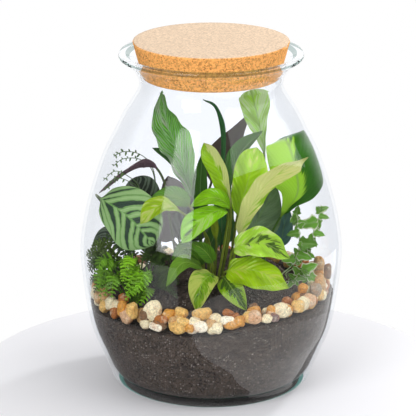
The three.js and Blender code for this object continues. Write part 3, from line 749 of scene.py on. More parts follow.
def river_pebble():
    """Quartz and sandstone river pebbles: worn smooth and satin, veined and stained by iron."""
    material, tree = new_material("river pebble")
    place = add_node(tree, "ShaderNodeTexCoord").outputs["Object"]
    own = add_node(tree, "ShaderNodeAttribute", {"attribute_name": "stone_colour"}).outputs["Color"]
    stain = add_node(
        tree,
        "ShaderNodeTexNoise",
        {"Scale": texture_scale(STAIN), "Detail": 6.0, "Roughness": 0.7, "Vector": place},
    ).outputs["Fac"]
    stained = add_node(
        tree, "ShaderNodeMapRange", {"From Min": 0.5, "From Max": 0.68, "To Max": 0.6, "Value": stain}
    ).outputs[0]
    pale = add_node(
        tree, "ShaderNodeMapRange", {"From Min": 0.46, "From Max": 0.32, "To Max": 0.6, "Value": stain}
    ).outputs[0]
    # Pits and grains of 1 mm and more are drawn, as finer ones would not show.
    speckle = add_node(
        tree,
        "ShaderNodeTexNoise",
        {"Scale": texture_scale(GRAIN), "Detail": 4.0, "Roughness": 0.7, "Vector": place},
    ).outputs["Fac"]
    grain = add_node(
        tree,
        "ShaderNodeMapRange",
        {"From Min": 0.36, "From Max": 0.64, "To Min": 0.66, "To Max": 1.26, "Value": speckle},
    ).outputs[0]
    layers = [("MIX", stained, linear("BE7832")), ("MIX", pale, linear("F0E4C8")), ("MULTIPLY", 1.0, grain)]
    colour = layered(tree, own, layers)
    worn = weighted(tree, [(1, stain), (0.3, speckle)])
    bump = add_node(tree, "ShaderNodeBump", {"Strength": 0.7, "Distance": 0.001, "Height": worn})
    pebble = add_node(
        tree,
        "ShaderNodeBsdfPrincipled",
        {"Roughness": 0.55, "IOR": 1.45, "Base Color": colour, "Normal": bump.outputs["Normal"]},
    )
    finish_material(tree, pebble.outputs[0])
    return material


class StoneSettings(bpy.types.PropertyGroup):
    """How many pebbles lie at the glass, and their draw"""

    row: IntProperty(name="Row", description="Stones at the glass all round", min=20, max=60, default=38)
    seed: IntProperty(name="Seed", description="Draw of the filling stones", min=1, default=11)


def shared_material(make, name):
    """The material of that name, made by the first operator that needs it."""
    return bpy.data.materials.get(name) or make()


class TERRARIUM_OT_big_stones(bpy.types.Operator):
    """Lay the larger pebbles on the ring of small ones"""

    bl_idname = "terrarium.big_stones"
    bl_label = "Large pebbles"

    def execute(self, context):
        material = shared_material(river_pebble, "river pebble")
        form, faces = ball(FINE_BALL)
        for number, stone in enumerate(BIG_STONES, 1):
            points = placed_pebble(seeded_random(31 * number), stone, form)
            colour = np.tile(linear(STONE_COLOURS[stone[5]]), (len(points), 1))
            new_piece(
                f"pebble_{number:02d}",
                points,
                faces,
                material,
                [f"stone_{number:02d}"],
                {"stone_colour": colour},
                sharp=0,
            )
        return {"FINISHED"}


class TERRARIUM_OT_gravel_ring(bpy.types.Operator):
    """Fill the ring of small pebbles round the soil's edge"""

    bl_idname = "terrarium.gravel_ring"
    bl_label = "Ring of pebbles"

    def execute(self, context):
        settings = context.scene.terrarium.stones
        draw = seeded_random(settings.seed)
        stones = list(SMALL_STONES)
        counts = (settings.row, INNER_ROW, settings.row)
        for count, (distance, height, width, tall) in zip(counts, FILLING_ROWS):
            for place in range(count):
                # Stones lie up to half a place further round, and are up to a quarter smaller or larger.
                bearing = (place + 0.5 * draw()) * 360 / count
                sized = (width * (0.75 + 0.5 * draw()), tall * (0.75 + 0.5 * draw()))
                colour = COMMON_COLOURS[int(draw() * len(COMMON_COLOURS))]
                away = distance - 2.5 * draw()
                stones.append((bearing, away, height + 2 * draw(), *sized, colour))
        fine, fine_faces = ball(FINE_BALL)
        plain, plain_faces = ball(PLAIN_BALL)
        vertices = []
        faces = []
        colours = []
        first = 0
        for number, stone in enumerate(stones):
            listed = number < len(SMALL_STONES)
            form, form_faces = (fine, fine_faces) if listed else (plain, plain_faces)
            points = placed_pebble(seeded_random(17 * number + 5), stone, form)
            vertices.append(points)
            faces += [tuple(corner + first for corner in face) for face in form_faces]
            colours.append(np.tile(linear(STONE_COLOURS[stone[5]]), (len(points), 1)))
            first += len(points)
        new_piece(
            "pebble_ring",
            np.vstack(vertices),
            faces,
            shared_material(river_pebble, "river pebble"),
            ["gravel_ring"],
            {"stone_colour": np.vstack(colours)},
            sharp=0,
        )
        return {"FINISHED"}


# How deep a stem stands in the soil, and how thick a blade and a leaflet are at their rib.
ROOT_DEPTH = 8
BLADE = 0.7
LEAFLET = 0.5
# How many points root_points gives, which is the number of the first point after them.
ROOTS = 3
# Steps across a blade, and for the small leaves at its foot also the steps along them.
ACROSS = 14
YOUNG_ACROSS = 8
YOUNG_STEPS = 24
# Place along a blade where it faces the way that is given for it.
FACE_AT = 0.45
# How softly a blade is folded at its rib.
FOLD_ROUND = 0.012
# The narrowest half of a blade.
NARROW = 0.25
# The halves of a blade ripple a little out of step, and fully only where they are at least this wide.
RIPPLE_LAG = 0.9
RIPPLE_WIDTH = 4
# Half waves of the ribs on each half, which stand out fully where it is at least this wide.
RIBS = 9
RIB_WIDTH = 6
# The share that a blade loses in thickness at its edge, and what is left of a stem's at its end.
EDGE_LOSS = 0.55
STEM_LEFT = 0.85
# Places along a blade between which the round stem turns into it.
STEM_TO_BLADE = (-0.01, 0.07)


def root_points(foot):
    """Where a stem starts: in the soil, out of it, and a little above."""
    x, y = foot
    ground = float(soil_height(x, y))
    return [(x, y, ground - ROOT_DEPTH), (x, y, ground + 0.5), (x, y, ground + 5)]


def leaf_outline(along, full):
    """Width of a plain leaf from stem to tip, 1 at its widest; full says how blunt its two ends are."""
    rise, fall = full
    peak = rise / (rise + fall)
    shape = np.power(along, rise) * np.power(1 - along, fall)
    return shape / (peak**rise * (1 - peak) ** fall)


def blade_outline(width, full):
    """Half widths of a plain leaf, the same left and right of the rib."""

    def halves(along):
        half = np.maximum(0.5 * width * leaf_outline(along, full), NARROW)
        return half, half

    return halves


def drawn_outline(stations):
    """Half widths left and right of the rib from (place, left, right), joined by a smooth curve."""
    places, left, right = np.array(stations, float).T

    def smooth(values, along):
        slopes = np.gradient(values, places)
        span = np.clip(np.searchsorted(places, along, "right") - 1, 0, len(places) - 2)
        wide = places[span + 1] - places[span]
        t = (along - places[span]) / wide
        start = (2 * t**3 - 3 * t**2 + 1) * values[span] + (t**3 - 2 * t**2 + t) * wide * slopes[span]
        end = (3 * t**2 - 2 * t**3) * values[span + 1] + (t**3 - t**2) * wide * slopes[span + 1]
        return np.maximum(start + end, NARROW)

    def halves(along):
        return smooth(left, along), smooth(right, along)

    return halves


def sweep_leaf(
    points,
    blade_start,
    outline,
    face,
    steps,
    across,
    fold=15,
    curl=0,
    ripple=0,
    ripples=3,
    ribbing=0,
    stem_radius=1.1,
    thick=BLADE,
):
    """A stem that turns into a blade: one closed surface along the smooth curve through its points.

    The blade starts at the point numbered blade_start. Fold is the angle of its halves and curl their
    droop, ripple its waves along the edge and ribbing those between the ribs. Gives points, faces and, for
    each point, its place on the leaf: across, along and side.
    """
    spans = len(points) - 1
    blade_at = blade_start / spans
    stem_places = np.linspace(0, blade_at, 6 * blade_start + 1)[:-1] if blade_start else np.zeros(0)
    # The rings lie closer together at the blade's two ends.
    even = np.linspace(0, 1, steps)
    alongs = 0.6 * even + 0.2 * (1 - np.cos(np.pi * even))
    places = np.concatenate([stem_places, blade_at + (1 - blade_at) * alongs])
    along = np.concatenate([np.full(len(stem_places), -1.0), alongs])
    centre = curve_points(points, places)
    ahead = unit(curve_points(points, places + 1e-4) - curve_points(points, places - 1e-4))
    # The blade faces the given way at one place, and from there it turns no more than its rib does.
    start = int(np.argmax(along >= FACE_AT))
    side = np.zeros_like(centre)
    side[start] = unit(np.cross(ahead[start], face))
    for k in range(start + 1, len(places)):
        side[k] = unit(side[k - 1] - ahead[k] * np.dot(side[k - 1], ahead[k]))
    for k in range(start - 1, -1, -1):
        side[k] = unit(side[k + 1] - ahead[k] * np.dot(side[k + 1], ahead[k]))
    up = np.cross(side, ahead)
    tilt = math.radians(fold)
    left, right = outline(np.clip(along, 0, 1))
    out = np.linspace(-1, 1, across + 1)[None, :]
    reach = np.where(out < 0, left[:, None], right[:, None])
    bend = np.sqrt(out**2 + FOLD_ROUND) - math.sqrt(FOLD_ROUND)
    wave = np.sin(2 * np.pi * ripples * along[:, None] + np.where(out > 0, RIPPLE_LAG, 0.0))
    lift = reach * (bend * math.sin(tilt) - curl * out**2)
    lift = lift + ripple * wave * out**2 * np.minimum(1, reach / RIPPLE_WIDTH)
    ribs = ribbing * np.sin(RIBS * np.pi * np.abs(out)) * (1 - out**2)
    lift = lift + ribs * np.minimum(1, reach / RIB_WIDTH)
    # The blade is thinner at its edges, and measured square to its fold.
    half = 0.5 * thick * (1 - EDGE_LOSS * out**2) / math.cos(tilt)
    flat = centre[:, None, :] + side[:, None, :] * (out * reach * math.cos(tilt))[:, :, None]
    upper = flat + up[:, None, :] * (lift + half)[:, :, None]
    lower = flat + up[:, None, :] * (lift - half)[:, :, None]
    # The same points on the round stem, which turns into the blade where the blade starts.
    angle = np.pi * (1 - (np.arange(across + 1) + 0.5) / (across + 1))
    taper = np.linspace(1.0, STEM_LEFT, len(places))[:, None]
    round_side = side[:, None, :] * (stem_radius * taper * np.cos(angle)[None, :])[:, :, None]
    round_up = up[:, None, :] * (stem_radius * taper * np.sin(angle)[None, :])[:, :, None]
    round_upper = centre[:, None, :] + round_side + round_up
    round_lower = centre[:, None, :] + round_side - round_up
    share = smoothstep(along, *STEM_TO_BLADE)[:, None, None] if blade_start else 1.0
    upper = round_upper + (upper - round_upper) * share
    lower = round_lower + (lower - round_lower) * share
    size = 2 * (across + 1)
    vertices = np.concatenate([upper, lower], axis=1).reshape(-1, 3)
    faces = blade_faces(len(places), across + 1, size)
    place = np.zeros((len(places), size, 3))
    place[:, :, 0] = np.concatenate([out, out], axis=1)
    place[:, :, 1] = along[:, None]
    place[:, : across + 1, 2] = 1
    return vertices, faces, place.reshape(-1, 3)


def blade_faces(rings, width, size):
    """Faces of a closed blade whose every ring has its upper points and then its lower ones."""
    faces = []
    edge = width - 1
    for ring in range(rings - 1):
        here = ring * size
        after = here + size
        for step in range(edge):
            faces.append((here + step, here + step + 1, after + step + 1, after + step))
            low = here + width + step
            faces.append((low, low + size, low + size + 1, low + 1))
        faces.append((here, after, after + width, here + width))
        faces.append((here + edge, here + width + edge, after + width + edge, after + edge))
    end = (rings - 1) * size
    for step in range(edge):
        faces.append((end + step, end + step + 1, end + width + step + 1, end + width + step))
        faces.append((step, width + step, width + step + 1, step + 1))
    return faces


def kept_inside(points):
    """Points with those near the jar's wall pressed flat against it, as leaves lie on the glass."""
    radius = np.hypot(points[:, 0], points[:, 1])
    start = glass_inside(np.clip(points[:, 2], WALL_LOW, NECK_HIGH)) - PRESS - CLEARANCE
    over = np.maximum(radius - start, 0)
    pressed = np.minimum(radius, start) + PRESS * (1 - np.exp(-over / PRESS))
    shrink = np.where(over > 0, pressed / np.maximum(radius, 1), 1.0)
    return points * np.stack([shrink, shrink, np.ones_like(shrink)], axis=-1)


class Cluster:
    """Swept parts that make one piece together, each with a number of its own for its tone."""

    def __init__(self):
        self.vertices = []
        self.faces = []
        self.place = []
        self.mark = []
        self.count = 0

    def add(self, part, mark=0.0):
        vertices, faces, place = part
        self.vertices.append(vertices)
        self.faces += [tuple(corner + self.count for corner in face) for face in faces]
        self.place.append(place)
        self.mark.append(np.full(len(vertices), mark))
        self.count += len(vertices)

    def make(self, name, material, slot, replaced):
        new_piece(
            name,
            kept_inside(np.vstack(self.vertices)),
            self.faces,
            material,
            replaced,
            {"leaf_place": np.vstack(self.place), "leaf_mark": np.concatenate(self.mark)},
        )


# A leaf is where its stem leaves the soil, the points of its stem and of its rib, the way its blade faces
# and its width, or the half widths left and right of its rib at places from 0 to 1. Its look is the colours
# and the share of each that fleshy_leaf takes, or the name of one of the striped leaves.
LIME_LEAVES = [
    dict(foot=(9, -31), stem=[(15, -30, 135)], rib=[(16, -33, 162), (8, -34, 190), (-6, -26, 215)],
         face=(-0.2, -1, 0.2), fold=22, ripple=0.7,
         stations=[(0, 0.9, 0.9), (0.1, 2, 1.5), (0.2, 6, 2.5), (0.3, 8.5, 4), (0.5, 9, 7), (0.7, 9, 8),
                   (0.85, 8, 7), (0.93, 5.5, 4.5), (1, 0.3, 0.3)],
         look=dict(green="A0D200", cream="D9E08C", half=0.75, amount=0.12, seed=1)),
    dict(foot=(14, -26), stem=[(19, -22, 130)], rib=[(22, -20, 150), (31, -18, 181), (38, -8, 206)],
         face=(0.1, -1, 0.15), fold=8, ripple=0.9,
         stations=[(0, 0.9, 0.9), (0.1, 6, 8), (0.2, 9, 13), (0.35, 12, 16.5), (0.5, 13.5, 16),
                   (0.7, 14, 13.5), (0.85, 11.5, 9.5), (0.94, 7, 6), (1, 0.3, 0.3)],
         look=dict(green="BEF51E", cream="E1F082", amount=0.04, seed=2)),
    dict(foot=(16, -33), stem=[], rib=[(23, -38, 137), (34, -45, 167), (50, -38, 187), (81, -10, 198)],
         face=(-0.35, -0.8, 0.5), fold=18, ripple=1.1, ripples=4,
         stations=[(0, 0.9, 0.9), (0.08, 4.5, 4), (0.3, 8.5, 8.5), (0.5, 9.2, 9.2), (0.65, 8.5, 9.5),
                   (0.78, 6, 12.5), (0.85, 4.5, 11), (0.92, 2.5, 4), (1, 0.3, 0.3)],
         look=dict(green="AAE11E", cream="DCE18C", half=-0.12, amount=0.36, seed=5)),
    dict(foot=(9, -36), stem=[(13, -37, 134)], rib=[(15, -40, 162), (1, -47, 174), (-17, -52, 168)],
         width=17, face=(0, -0.7, 0.75), look=dict(green="8CCD00", cream="E6F0C8", amount=-0.12, seed=4)),
    dict(foot=(6, -41), stem=[(11, -43, 134)], rib=[(13, -46, 161), (-4, -61, 162), (-24, -67, 141)],
         face=(-0.3, -0.8, 0.4), ripple=0.8,
         stations=[(0, 0.9, 0.9), (0.1, 4, 3), (0.25, 7, 5), (0.4, 9, 7), (0.6, 9.5, 11), (0.8, 7, 11),
                   (0.92, 4, 6), (1, 0.3, 0.3)],
         look=dict(green="8CD200", cream="B4DC6E", amount=0.0, dark=0.1, seed=5)),
    dict(foot=(-1, -38), stem=[(-3, -36, 136)], rib=[(-26, -53, 164), (-42, -60, 171), (-58, -62, 156)],
         face=(-0.1, -0.7, 0.7), ripple=0.5,
         stations=[(0, 0.9, 0.9), (0.12, 4, 3), (0.3, 6.5, 6), (0.5, 7.5, 8.5), (0.7, 7, 9.5), (0.85, 5, 7),
                   (1, 0.3, 0.3)],
         look=dict(green="AAD200", cream="CDD973", amount=0.12, seed=6)),
    dict(foot=(-2, -30), stem=[(-5, -33, 137)], rib=[(-18, -38, 164), (-32, -42, 174), (-49, -44, 174)],
         width=17, face=(0, -0.8, 0.6), look=dict(green="5F9632", amount=-0.3, seed=7)),
    dict(foot=(15, -40), stem=[], rib=[(19, -50, 130), (42, -62, 139), (65, -58, 125)],
         width=29, face=(0, -0.7, 0.75), fold=12, ripple=1.2,
         look=dict(green="B9EB41", cream="DCEB96", amount=0.04, dark=0.12, seed=8)),
    dict(foot=(11, -45), stem=[], rib=[(13, -53, 112), (38, -68, 117), (64, -67, 102)],
         face=(0.1, -0.75, 0.65), fold=8, ripple=1.3,
         stations=[(0, 0.9, 0.9), (0.08, 8, 8), (0.2, 11, 12.5), (0.35, 12, 15.5), (0.5, 11.5, 16.5),
                   (0.65, 10.5, 15), (0.8, 8, 10.5), (0.92, 4, 4.5), (1, 0.3, 0.3)],
         look=dict(green="A8D200", cream="C8D750", amount=0.02, dark=-0.02, seed=9)),
    dict(foot=(2, -46), stem=[], rib=[(1, -53, 109), (-8, -67, 105), (-12, -75, 84)],
         width=23, face=(-0.2, -0.9, 0.3), ripple=0.6,
         look=dict(green="82B400", cream="C3CF5F", amount=0.0, edge=0.3, dark=0.02, seed=10)),
    dict(foot=(7, -48), stem=[], rib=[(10, -54, 107), (18, -69, 101), (29, -77, 86)],
         width=20, face=(-0.2, -0.8, 0.5),
         look=dict(green="96C800", cream="A8C83C", amount=0.0, edge=0.2, dark=0.5, dark_edge=0.75,
                   seed=11)),
    dict(foot=(-5, -42), stem=[], rib=[(-8, -50, 114), (-24, -60, 121), (-37, -69, 104)],
         width=15, face=(-0.2, -0.7, 0.7), ripple=0.6, look=dict(green="6E9C28", amount=-0.3, seed=12)),
    dict(foot=(3, -35), stem=[(4, -36, 121)], rib=[(4, -38, 135), (3, -39, 148), (1, -38, 158)],
         width=9, face=(-0.2, 1, 0.1), fold=40, full=(0.5, 0.4),
         look=dict(green="A8C010", amount=-0.3, seed=13)),
    dict(foot=(1, -42), stem=[], rib=[(1, -46, 117), (-6, -52, 130), (-18, -55, 138)],
         width=13, face=(-0.3, -0.7, 0.6), look=dict(green="558C0F", amount=-0.3, seed=14)),
    dict(foot=(-5, -37), stem=[], rib=[(-8, -40, 113), (-13, -46, 123), (-20, -51, 131)],
         width=11, face=(-0.4, -0.7, 0.5), look=dict(green="558C0F", amount=-0.3, seed=15)),
    dict(foot=(-6, -31), stem=[], rib=[(-8, -32, 116), (-20, -36, 127), (-33, -44, 119)],
         width=15, face=(-0.1, -0.6, 0.8), look=dict(green="50822D", amount=-0.3, seed=16)),
]

# A leaf's "young" is a small leaf low between the stems, on the same piece.
LILY_LEAVES = [
    # Its pale bluish patches and its wide pale lines between the ribs are painted sheen.
    dict(foot=(-8, 24), stem=[(-10, 24, 118)],
         rib=[(-15, 20, 152), (-26, 12, 192), (-37, 10, 223), (-41, 8, 251)],
         face=(-0.25, -1, 0.1), fold=16, ripple=2.4, ripples=5, ribbing=0.8,
         stations=[(0, 0.9, 0.9), (0.08, 4, 4), (0.2, 8.5, 8.5), (0.32, 10, 13), (0.45, 13.5, 17),
                   (0.58, 14, 15.5), (0.68, 13, 11), (0.77, 10.5, 6.5), (0.86, 7, 2.8), (0.94, 3.4, 1.6),
                   (1, 0.5, 0.5)],
         look=dict(green="8CEB46", cream="D2EBC3", amount=0.06, half=-0.1, lines=0.7, band=0.3,
                   vein_and_sheen="CDE6C3", relief=4, seed=21)),
    dict(foot=(-14, 34), stem=[(-17, 40, 128)], rib=[(-22, 38, 166), (-35, 34, 185), (-50, 30, 195)],
         width=11, face=(-0.2, -0.6, 0.8), look=dict(green="3B6E2A", seed=22)),
    dict(foot=(10, 28), stem=[(14, 30, 135)],
         rib=[(10, 30, 172), (10, 28, 209), (4, 26, 232), (-7, 28, 238)],
         face=(-0.6, -0.8, 0.2), fold=32,
         stations=[(0, 0.9, 0.9), (0.15, 1.5, 4), (0.3, 2, 5), (0.45, 2, 6.5), (0.6, 1.5, 4.5),
                   (0.75, 1.5, 3.5), (0.88, 1, 2), (1, 0.25, 0.25)],
         young=dict(foot=(9, 29), stem=[], rib=[(8, 30, 108), (9, 31, 128), (6, 30, 152)],
                    width=24, face=(0.1, -1, 0.2)),
         look=dict(green="4B9155", seed=23)),
    dict(foot=(30, 26), stem=[(43, 26, 150)],
         rib=[(45, 27, 190), (42, 24, 210), (38, 20, 230), (33, 14, 250)],
         face=(0.1, -1, 0.1), fold=10, ripple=0.8,
         stations=[(0, 0.9, 0.9), (0.15, 4, 2.2), (0.3, 5.5, 4), (0.45, 9, 6.5), (0.6, 11.5, 9.5),
                   (0.75, 12, 13), (0.87, 12, 13.5), (0.95, 11, 12.5), (1, 6, 7)],
         look=dict(green="BEF55A", cream="DCF5BE", amount=0.12, lines=0.04, relief=0.4, seed=24)),
    dict(foot=(18, 4), stem=[(18, 4, 148)], rib=[(16, 4, 168), (24, 5, 196), (43, 4, 217)],
         face=(-0.2, -0.9, 0.4), fold=20, ripple=0.7, ribbing=0.25,
         stations=[(0, 0.9, 0.9), (0.1, 2.5, 2), (0.25, 7, 3.5), (0.4, 9.5, 4), (0.55, 9.5, 4),
                   (0.7, 8, 3.5), (0.85, 5, 2), (1, 0.25, 0.25)],
         look=dict(green="50A032", rib_white=0.9, lines=0.6, band=0.35, vein_and_sheen="C8E1AF", relief=3, seed=25)),
    # Its bright green left and lower part is painted light, and the darker green of its right half painted
    # shade.
    dict(foot=(38, 8), stem=[(46, 10, 115)],
         rib=[(59, 10, 140), (72.5, 2, 163), (70.5, 2, 186), (64, 11, 205), (58, 32, 202)],
         face=(0.1, -1, 0.2), fold=6, ripple=1,
         stations=[(0, 0.9, 0.9), (0.06, 4, 3), (0.14, 9, 6), (0.24, 15, 15), (0.35, 20, 22),
                   (0.5, 21.5, 24), (0.65, 21, 24), (0.78, 18, 20), (0.9, 12, 13), (1, 0.3, 0.3)],
         look=dict(green="3C8700", cream="B9F03C", amount=0.52, half=-0.9, rise=-0.4, lines=0.02,
                   relief=0.4, seed=26)),
    dict(foot=(26, 8), stem=[], rib=[(32, 14, 117), (43, 20, 141), (56, 24, 162)],
         width=38, face=(0.1, -1, 0.3), fold=10, look=dict(green="8CAA82", lines=0.08, seed=27)),
    dict(foot=(46, 16), stem=[], rib=[(58, 18, 112), (62, 22, 127), (65, 26, 146)],
         width=17, face=(0, -1, 0.3), look=dict(green="6E9C96", seed=28)),
    dict(foot=(-4, 14), stem=[(-8, 10, 114)], rib=[(-9, 2, 140), (-9, 0, 171), (-7, 0, 200)],
         width=14, face=(-0.3, -1, 0.1), look=dict(green="3C6E1E", seed=29),
         young=dict(foot=(-3, 13), stem=[], rib=[(-4, 12, 108), (2, 11, 122), (3, 10, 140)],
                    width=15, face=(0.2, -1, 0.2))),
]

STRIPED_LEAVES = [
    dict(foot=(-46, 22), stem=[(-76, 18, 130), (-96, 8, 158)],
         rib=[(-93, -3, 160), (-72, -22, 152), (-58, -31, 140), (-48, -35, 129)],
         face=(-0.3, -0.85, 0.45), fold=5, curl=0.15,
         stations=[(0, 3, 2), (0.05, 10, 8), (0.14, 18, 15), (0.28, 24, 20), (0.42, 25.5, 22.5),
                   (0.58, 24.5, 23), (0.74, 20, 20), (0.88, 13, 13), (0.96, 6, 6), (1, 0.5, 0.5)],
         look="painted"),
    dict(foot=(-36, 8), stem=[(-45, 10, 115)], rib=[(-50, 10, 134), (-58, 10, 159), (-64, 14, 174)],
         width=31, face=(0.1, -1, 0.2), full=(0.5, 0.45), look="dark"),
    dict(foot=(-30, 16), stem=[(-36, 14, 142), (-39, 10, 168)],
         rib=[(-46, 6, 184), (-55, 1, 191), (-72, -5, 184), (-94, -7, 166)],
         face=(-0.3, 0.8, 0.45),
         stations=[(0, 0.9, 0.9), (0.08, 1.5, 4), (0.22, 1.8, 9), (0.38, 3, 8), (0.5, 2.2, 6),
                   (0.65, 1.6, 4.2), (0.8, 2, 3.6), (0.92, 1.5, 2.5), (1, 0.3, 0.3)],
         look="violet"),
    dict(foot=(-4, 42), stem=[(-5, 44, 131)], rib=[(0, 43, 160), (16, 44, 190), (31, 38, 222)],
         face=(0.1, 1, 0.1),
         stations=[(0, 0.9, 0.9), (0.15, 10, 12), (0.35, 12, 16), (0.55, 9, 13), (0.75, 5, 7), (0.9, 3, 3),
                   (1, 0.3, 0.3)],
         look="umber"),
    dict(foot=(-48, 26), stem=[], rib=[(-70, 18, 115), (-86, 8, 124), (-101, 1, 116)],
         width=22, face=(-0.2, -0.4, 0.9), look="dark"),
    dict(foot=(-26, 38), stem=[], rib=[(-29, 42, 117), (-30, 46, 140), (-37, 44, 166)],
         stations=[(0, 5, 5), (0.12, 13, 14), (0.35, 16, 16), (0.6, 15, 15), (0.8, 10, 10), (0.93, 5, 5),
                   (1, 0.3, 0.3)],
         young=dict(foot=(-28, 36), stem=[], rib=[(-33, 38, 110), (-42, 40, 120), (-53, 42, 126)],
                    width=27, face=(0.1, 1, 0.3)),
         face=(0.1, 1, 0.1), look="umber"),
    dict(foot=(-20, 28), stem=[], rib=[(-23, 29, 112), (-16, 30, 132), (-6, 28, 154)],
         width=34, face=(0.1, -1, 0.2), look="dark"),
]


SHAPE_KEYS = ("face", "fold", "curl", "ripple", "ripples", "ribbing")


def planted_leaf(leaf, steps, across):
    """The points and faces of a leaf on its stem, from its line in one of the lists."""
    shape = {key: leaf[key] for key in SHAPE_KEYS if key in leaf}
    lead = [*root_points(leaf["foot"]), *leaf["stem"]]
    if "stations" in leaf:
        outline = drawn_outline(leaf["stations"])
    else:
        outline = blade_outline(leaf["width"], leaf.get("full", (0.6, 0.9)))
    return sweep_leaf([*lead, *leaf["rib"]], len(lead), outline, steps=steps, across=across, **shape)


def leaf_cluster(leaf, number, steps):
    """A leaf, with its young one where it has one."""
    cluster = Cluster()
    cluster.add(planted_leaf(leaf, steps, ACROSS), number)
    if "young" in leaf:
        cluster.add(planted_leaf(leaf["young"], YOUNG_STEPS, YOUNG_ACROSS), number + 0.5)
    return cluster


def leaf_places(tree):
    """Sockets for the place on the leaf: across, along, upper side and distance from the rib."""
    place = add_node(tree, "ShaderNodeAttribute", {"attribute_name": "leaf_place"})
    parts = add_node(tree, "ShaderNodeSeparateXYZ", {0: place.outputs["Vector"]})
    away = add_node(tree, "ShaderNodeMath", {"operation": "ABSOLUTE", 0: parts.outputs["X"]}).outputs[0]
    return parts.outputs["X"], parts.outputs["Y"], parts.outputs["Z"], away


def vein_count(tree, along, away, veins, lean, sweep=0.0):
    """A socket that counts the side veins up to a place, as they lean and sweep towards the tip."""
    far = add_node(tree, "ShaderNodeMath", {"operation": "MULTIPLY", 0: away, 1: away}).outputs[0]
    return weighted(tree, [(veins, along), (-lean, away), (-sweep, far)])


def fleshy_leaf(name, look, veins=11, lean=3.0, gloss=0.3):
    """A fleshy, waxy leaf: glossy green with faint side veins and cream variegation, which on two leaves is
    painted light.
    """
    material, tree = new_material(name)
    x, y, side, away = leaf_places(tree)
    count = vein_count(tree, y, away, veins, lean)
    # Each leaf takes its streaks from another place in the noise.
    streak_place = add_node(
        tree, "ShaderNodeCombineXYZ", {0: count, 1: x, 2: 3.7 * look["seed"]}
    ).outputs[0]
    streaks = add_node(
        tree, "ShaderNodeTexNoise", {"Scale": 1.3, "Detail": 5.0, "Roughness": 0.6, "Vector": streak_place}
    ).outputs["Fac"]
    wide_place = add_node(
        tree, "ShaderNodeVectorMath", {"operation": "MULTIPLY", 0: streak_place, 1: (0.35, 1.1, 1.0)}
    ).outputs[0]
    patches = add_node(
        tree, "ShaderNodeTexNoise", {"Scale": 1.0, "Detail": 3.0, "Roughness": 0.5, "Vector": wide_place}
    ).outputs["Fac"]
    # The pale share follows the noise and may lean to one half or to the foot: variegation on the lime
    # leaves, painted light and painted sheen on two dark green leaves.
    pale = weighted(
        tree,
        [
            (1, streaks),
            (1, patches),
            (look.get("edge", 0.0), away),
            (look.get("half", 0.0), x),
            (look.get("rise", 0.0), y),
        ],
    )
    limit = 1.16 - look.get("amount", -0.3)
    shade = add_node(
        tree,
        "ShaderNodeMapRange",
        {"From Min": 0.35, "From Max": 0.65, "To Min": 0.7, "To Max": 1.15, "Value": patches},
    ).outputs[0]
    cream = add_node(
        tree, "ShaderNodeMapRange", {"From Min": limit - 0.06, "From Max": limit + 0.08, "Value": pale}
    ).outputs[0]
    # Dark green blotches lie along the veins, mostly near the rib.
    deep = weighted(tree, [(1.3, streaks), (-1, patches), (-look.get("dark_edge", 0.3), away)], 0.35)
    dark_limit = 0.62 - look.get("dark", -0.4)
    blotch = add_node(
        tree,
        "ShaderNodeMapRange",
        {"From Min": dark_limit, "From Max": dark_limit + 0.07, "To Max": 0.85, "Value": deep},
    ).outputs[0]
    # Pale lines between the side veins: veins on most leaves, and painted sheen where they are wide and
    # pale.
    ladder = add_node(tree, "ShaderNodeMath", {"operation": "PINGPONG", 0: count, 1: 0.5}).outputs[0]
    band, pale_line = look.get("band", 0.2), look.get("lines", 0.16)
    vein_and_sheen = add_node(
        tree, "ShaderNodeMapRange", {"From Max": band, "To Min": pale_line, "To Max": 0.0, "Value": ladder}
    ).outputs[0]
    white = look.get("rib_white", 0.45)
    rib = add_node(
        tree,
        "ShaderNodeMapRange",
        {"From Min": 0.02, "From Max": 0.07, "To Min": white, "To Max": 0.0, "Value": away},
    ).outputs[0]
    lines = add_node(tree, "ShaderNodeMath", {"operation": "MAXIMUM", 0: vein_and_sheen, 1: rib}).outputs[0]
    stalk = add_node(
        tree, "ShaderNodeMapRange", {"From Min": 0.06, "From Max": -0.02, "Value": y}
    ).outputs[0]
    under = add_node(tree, "ShaderNodeMapRange", {"To Min": 0.8, "Value": side}).outputs[0]
    colour = layered(
        tree,
        linear(look["green"]),
        [
            ("MULTIPLY", 1.0, shade),
            ("MIX", cream, linear(look.get("cream", "DDE6A2"))),
            ("MIX", blotch, linear("1E4614")),
            ("MIX", lines, linear(look.get("vein_and_sheen", "B4D25A"))),
            ("MIX", stalk, linear(look.get("stalk", "8CA02D"))),
            ("MULTIPLY", 1.0, under),
        ],
    )
    relief = look.get("relief", 1.0) * MM
    bump = add_node(tree, "ShaderNodeBump", {"Strength": 0.8, "Distance": relief, "Height": ladder})
    skin = add_node(
        tree,
        "ShaderNodeBsdfPrincipled",
        {
            "Roughness": gloss,
            "IOR": 1.4,
            "Specular IOR Level": 0.4,
            "Base Color": colour,
            "Normal": bump.outputs["Normal"],
        },
    )
    lit = add_node(tree, "ShaderNodeBsdfTranslucent", {"Color": colour})
    mix = add_node(tree, "ShaderNodeMixShader", {0: 0.25, 1: skin.outputs[0], 2: lit.outputs[0]})
    finish_material(tree, mix.outputs[0])
    return material


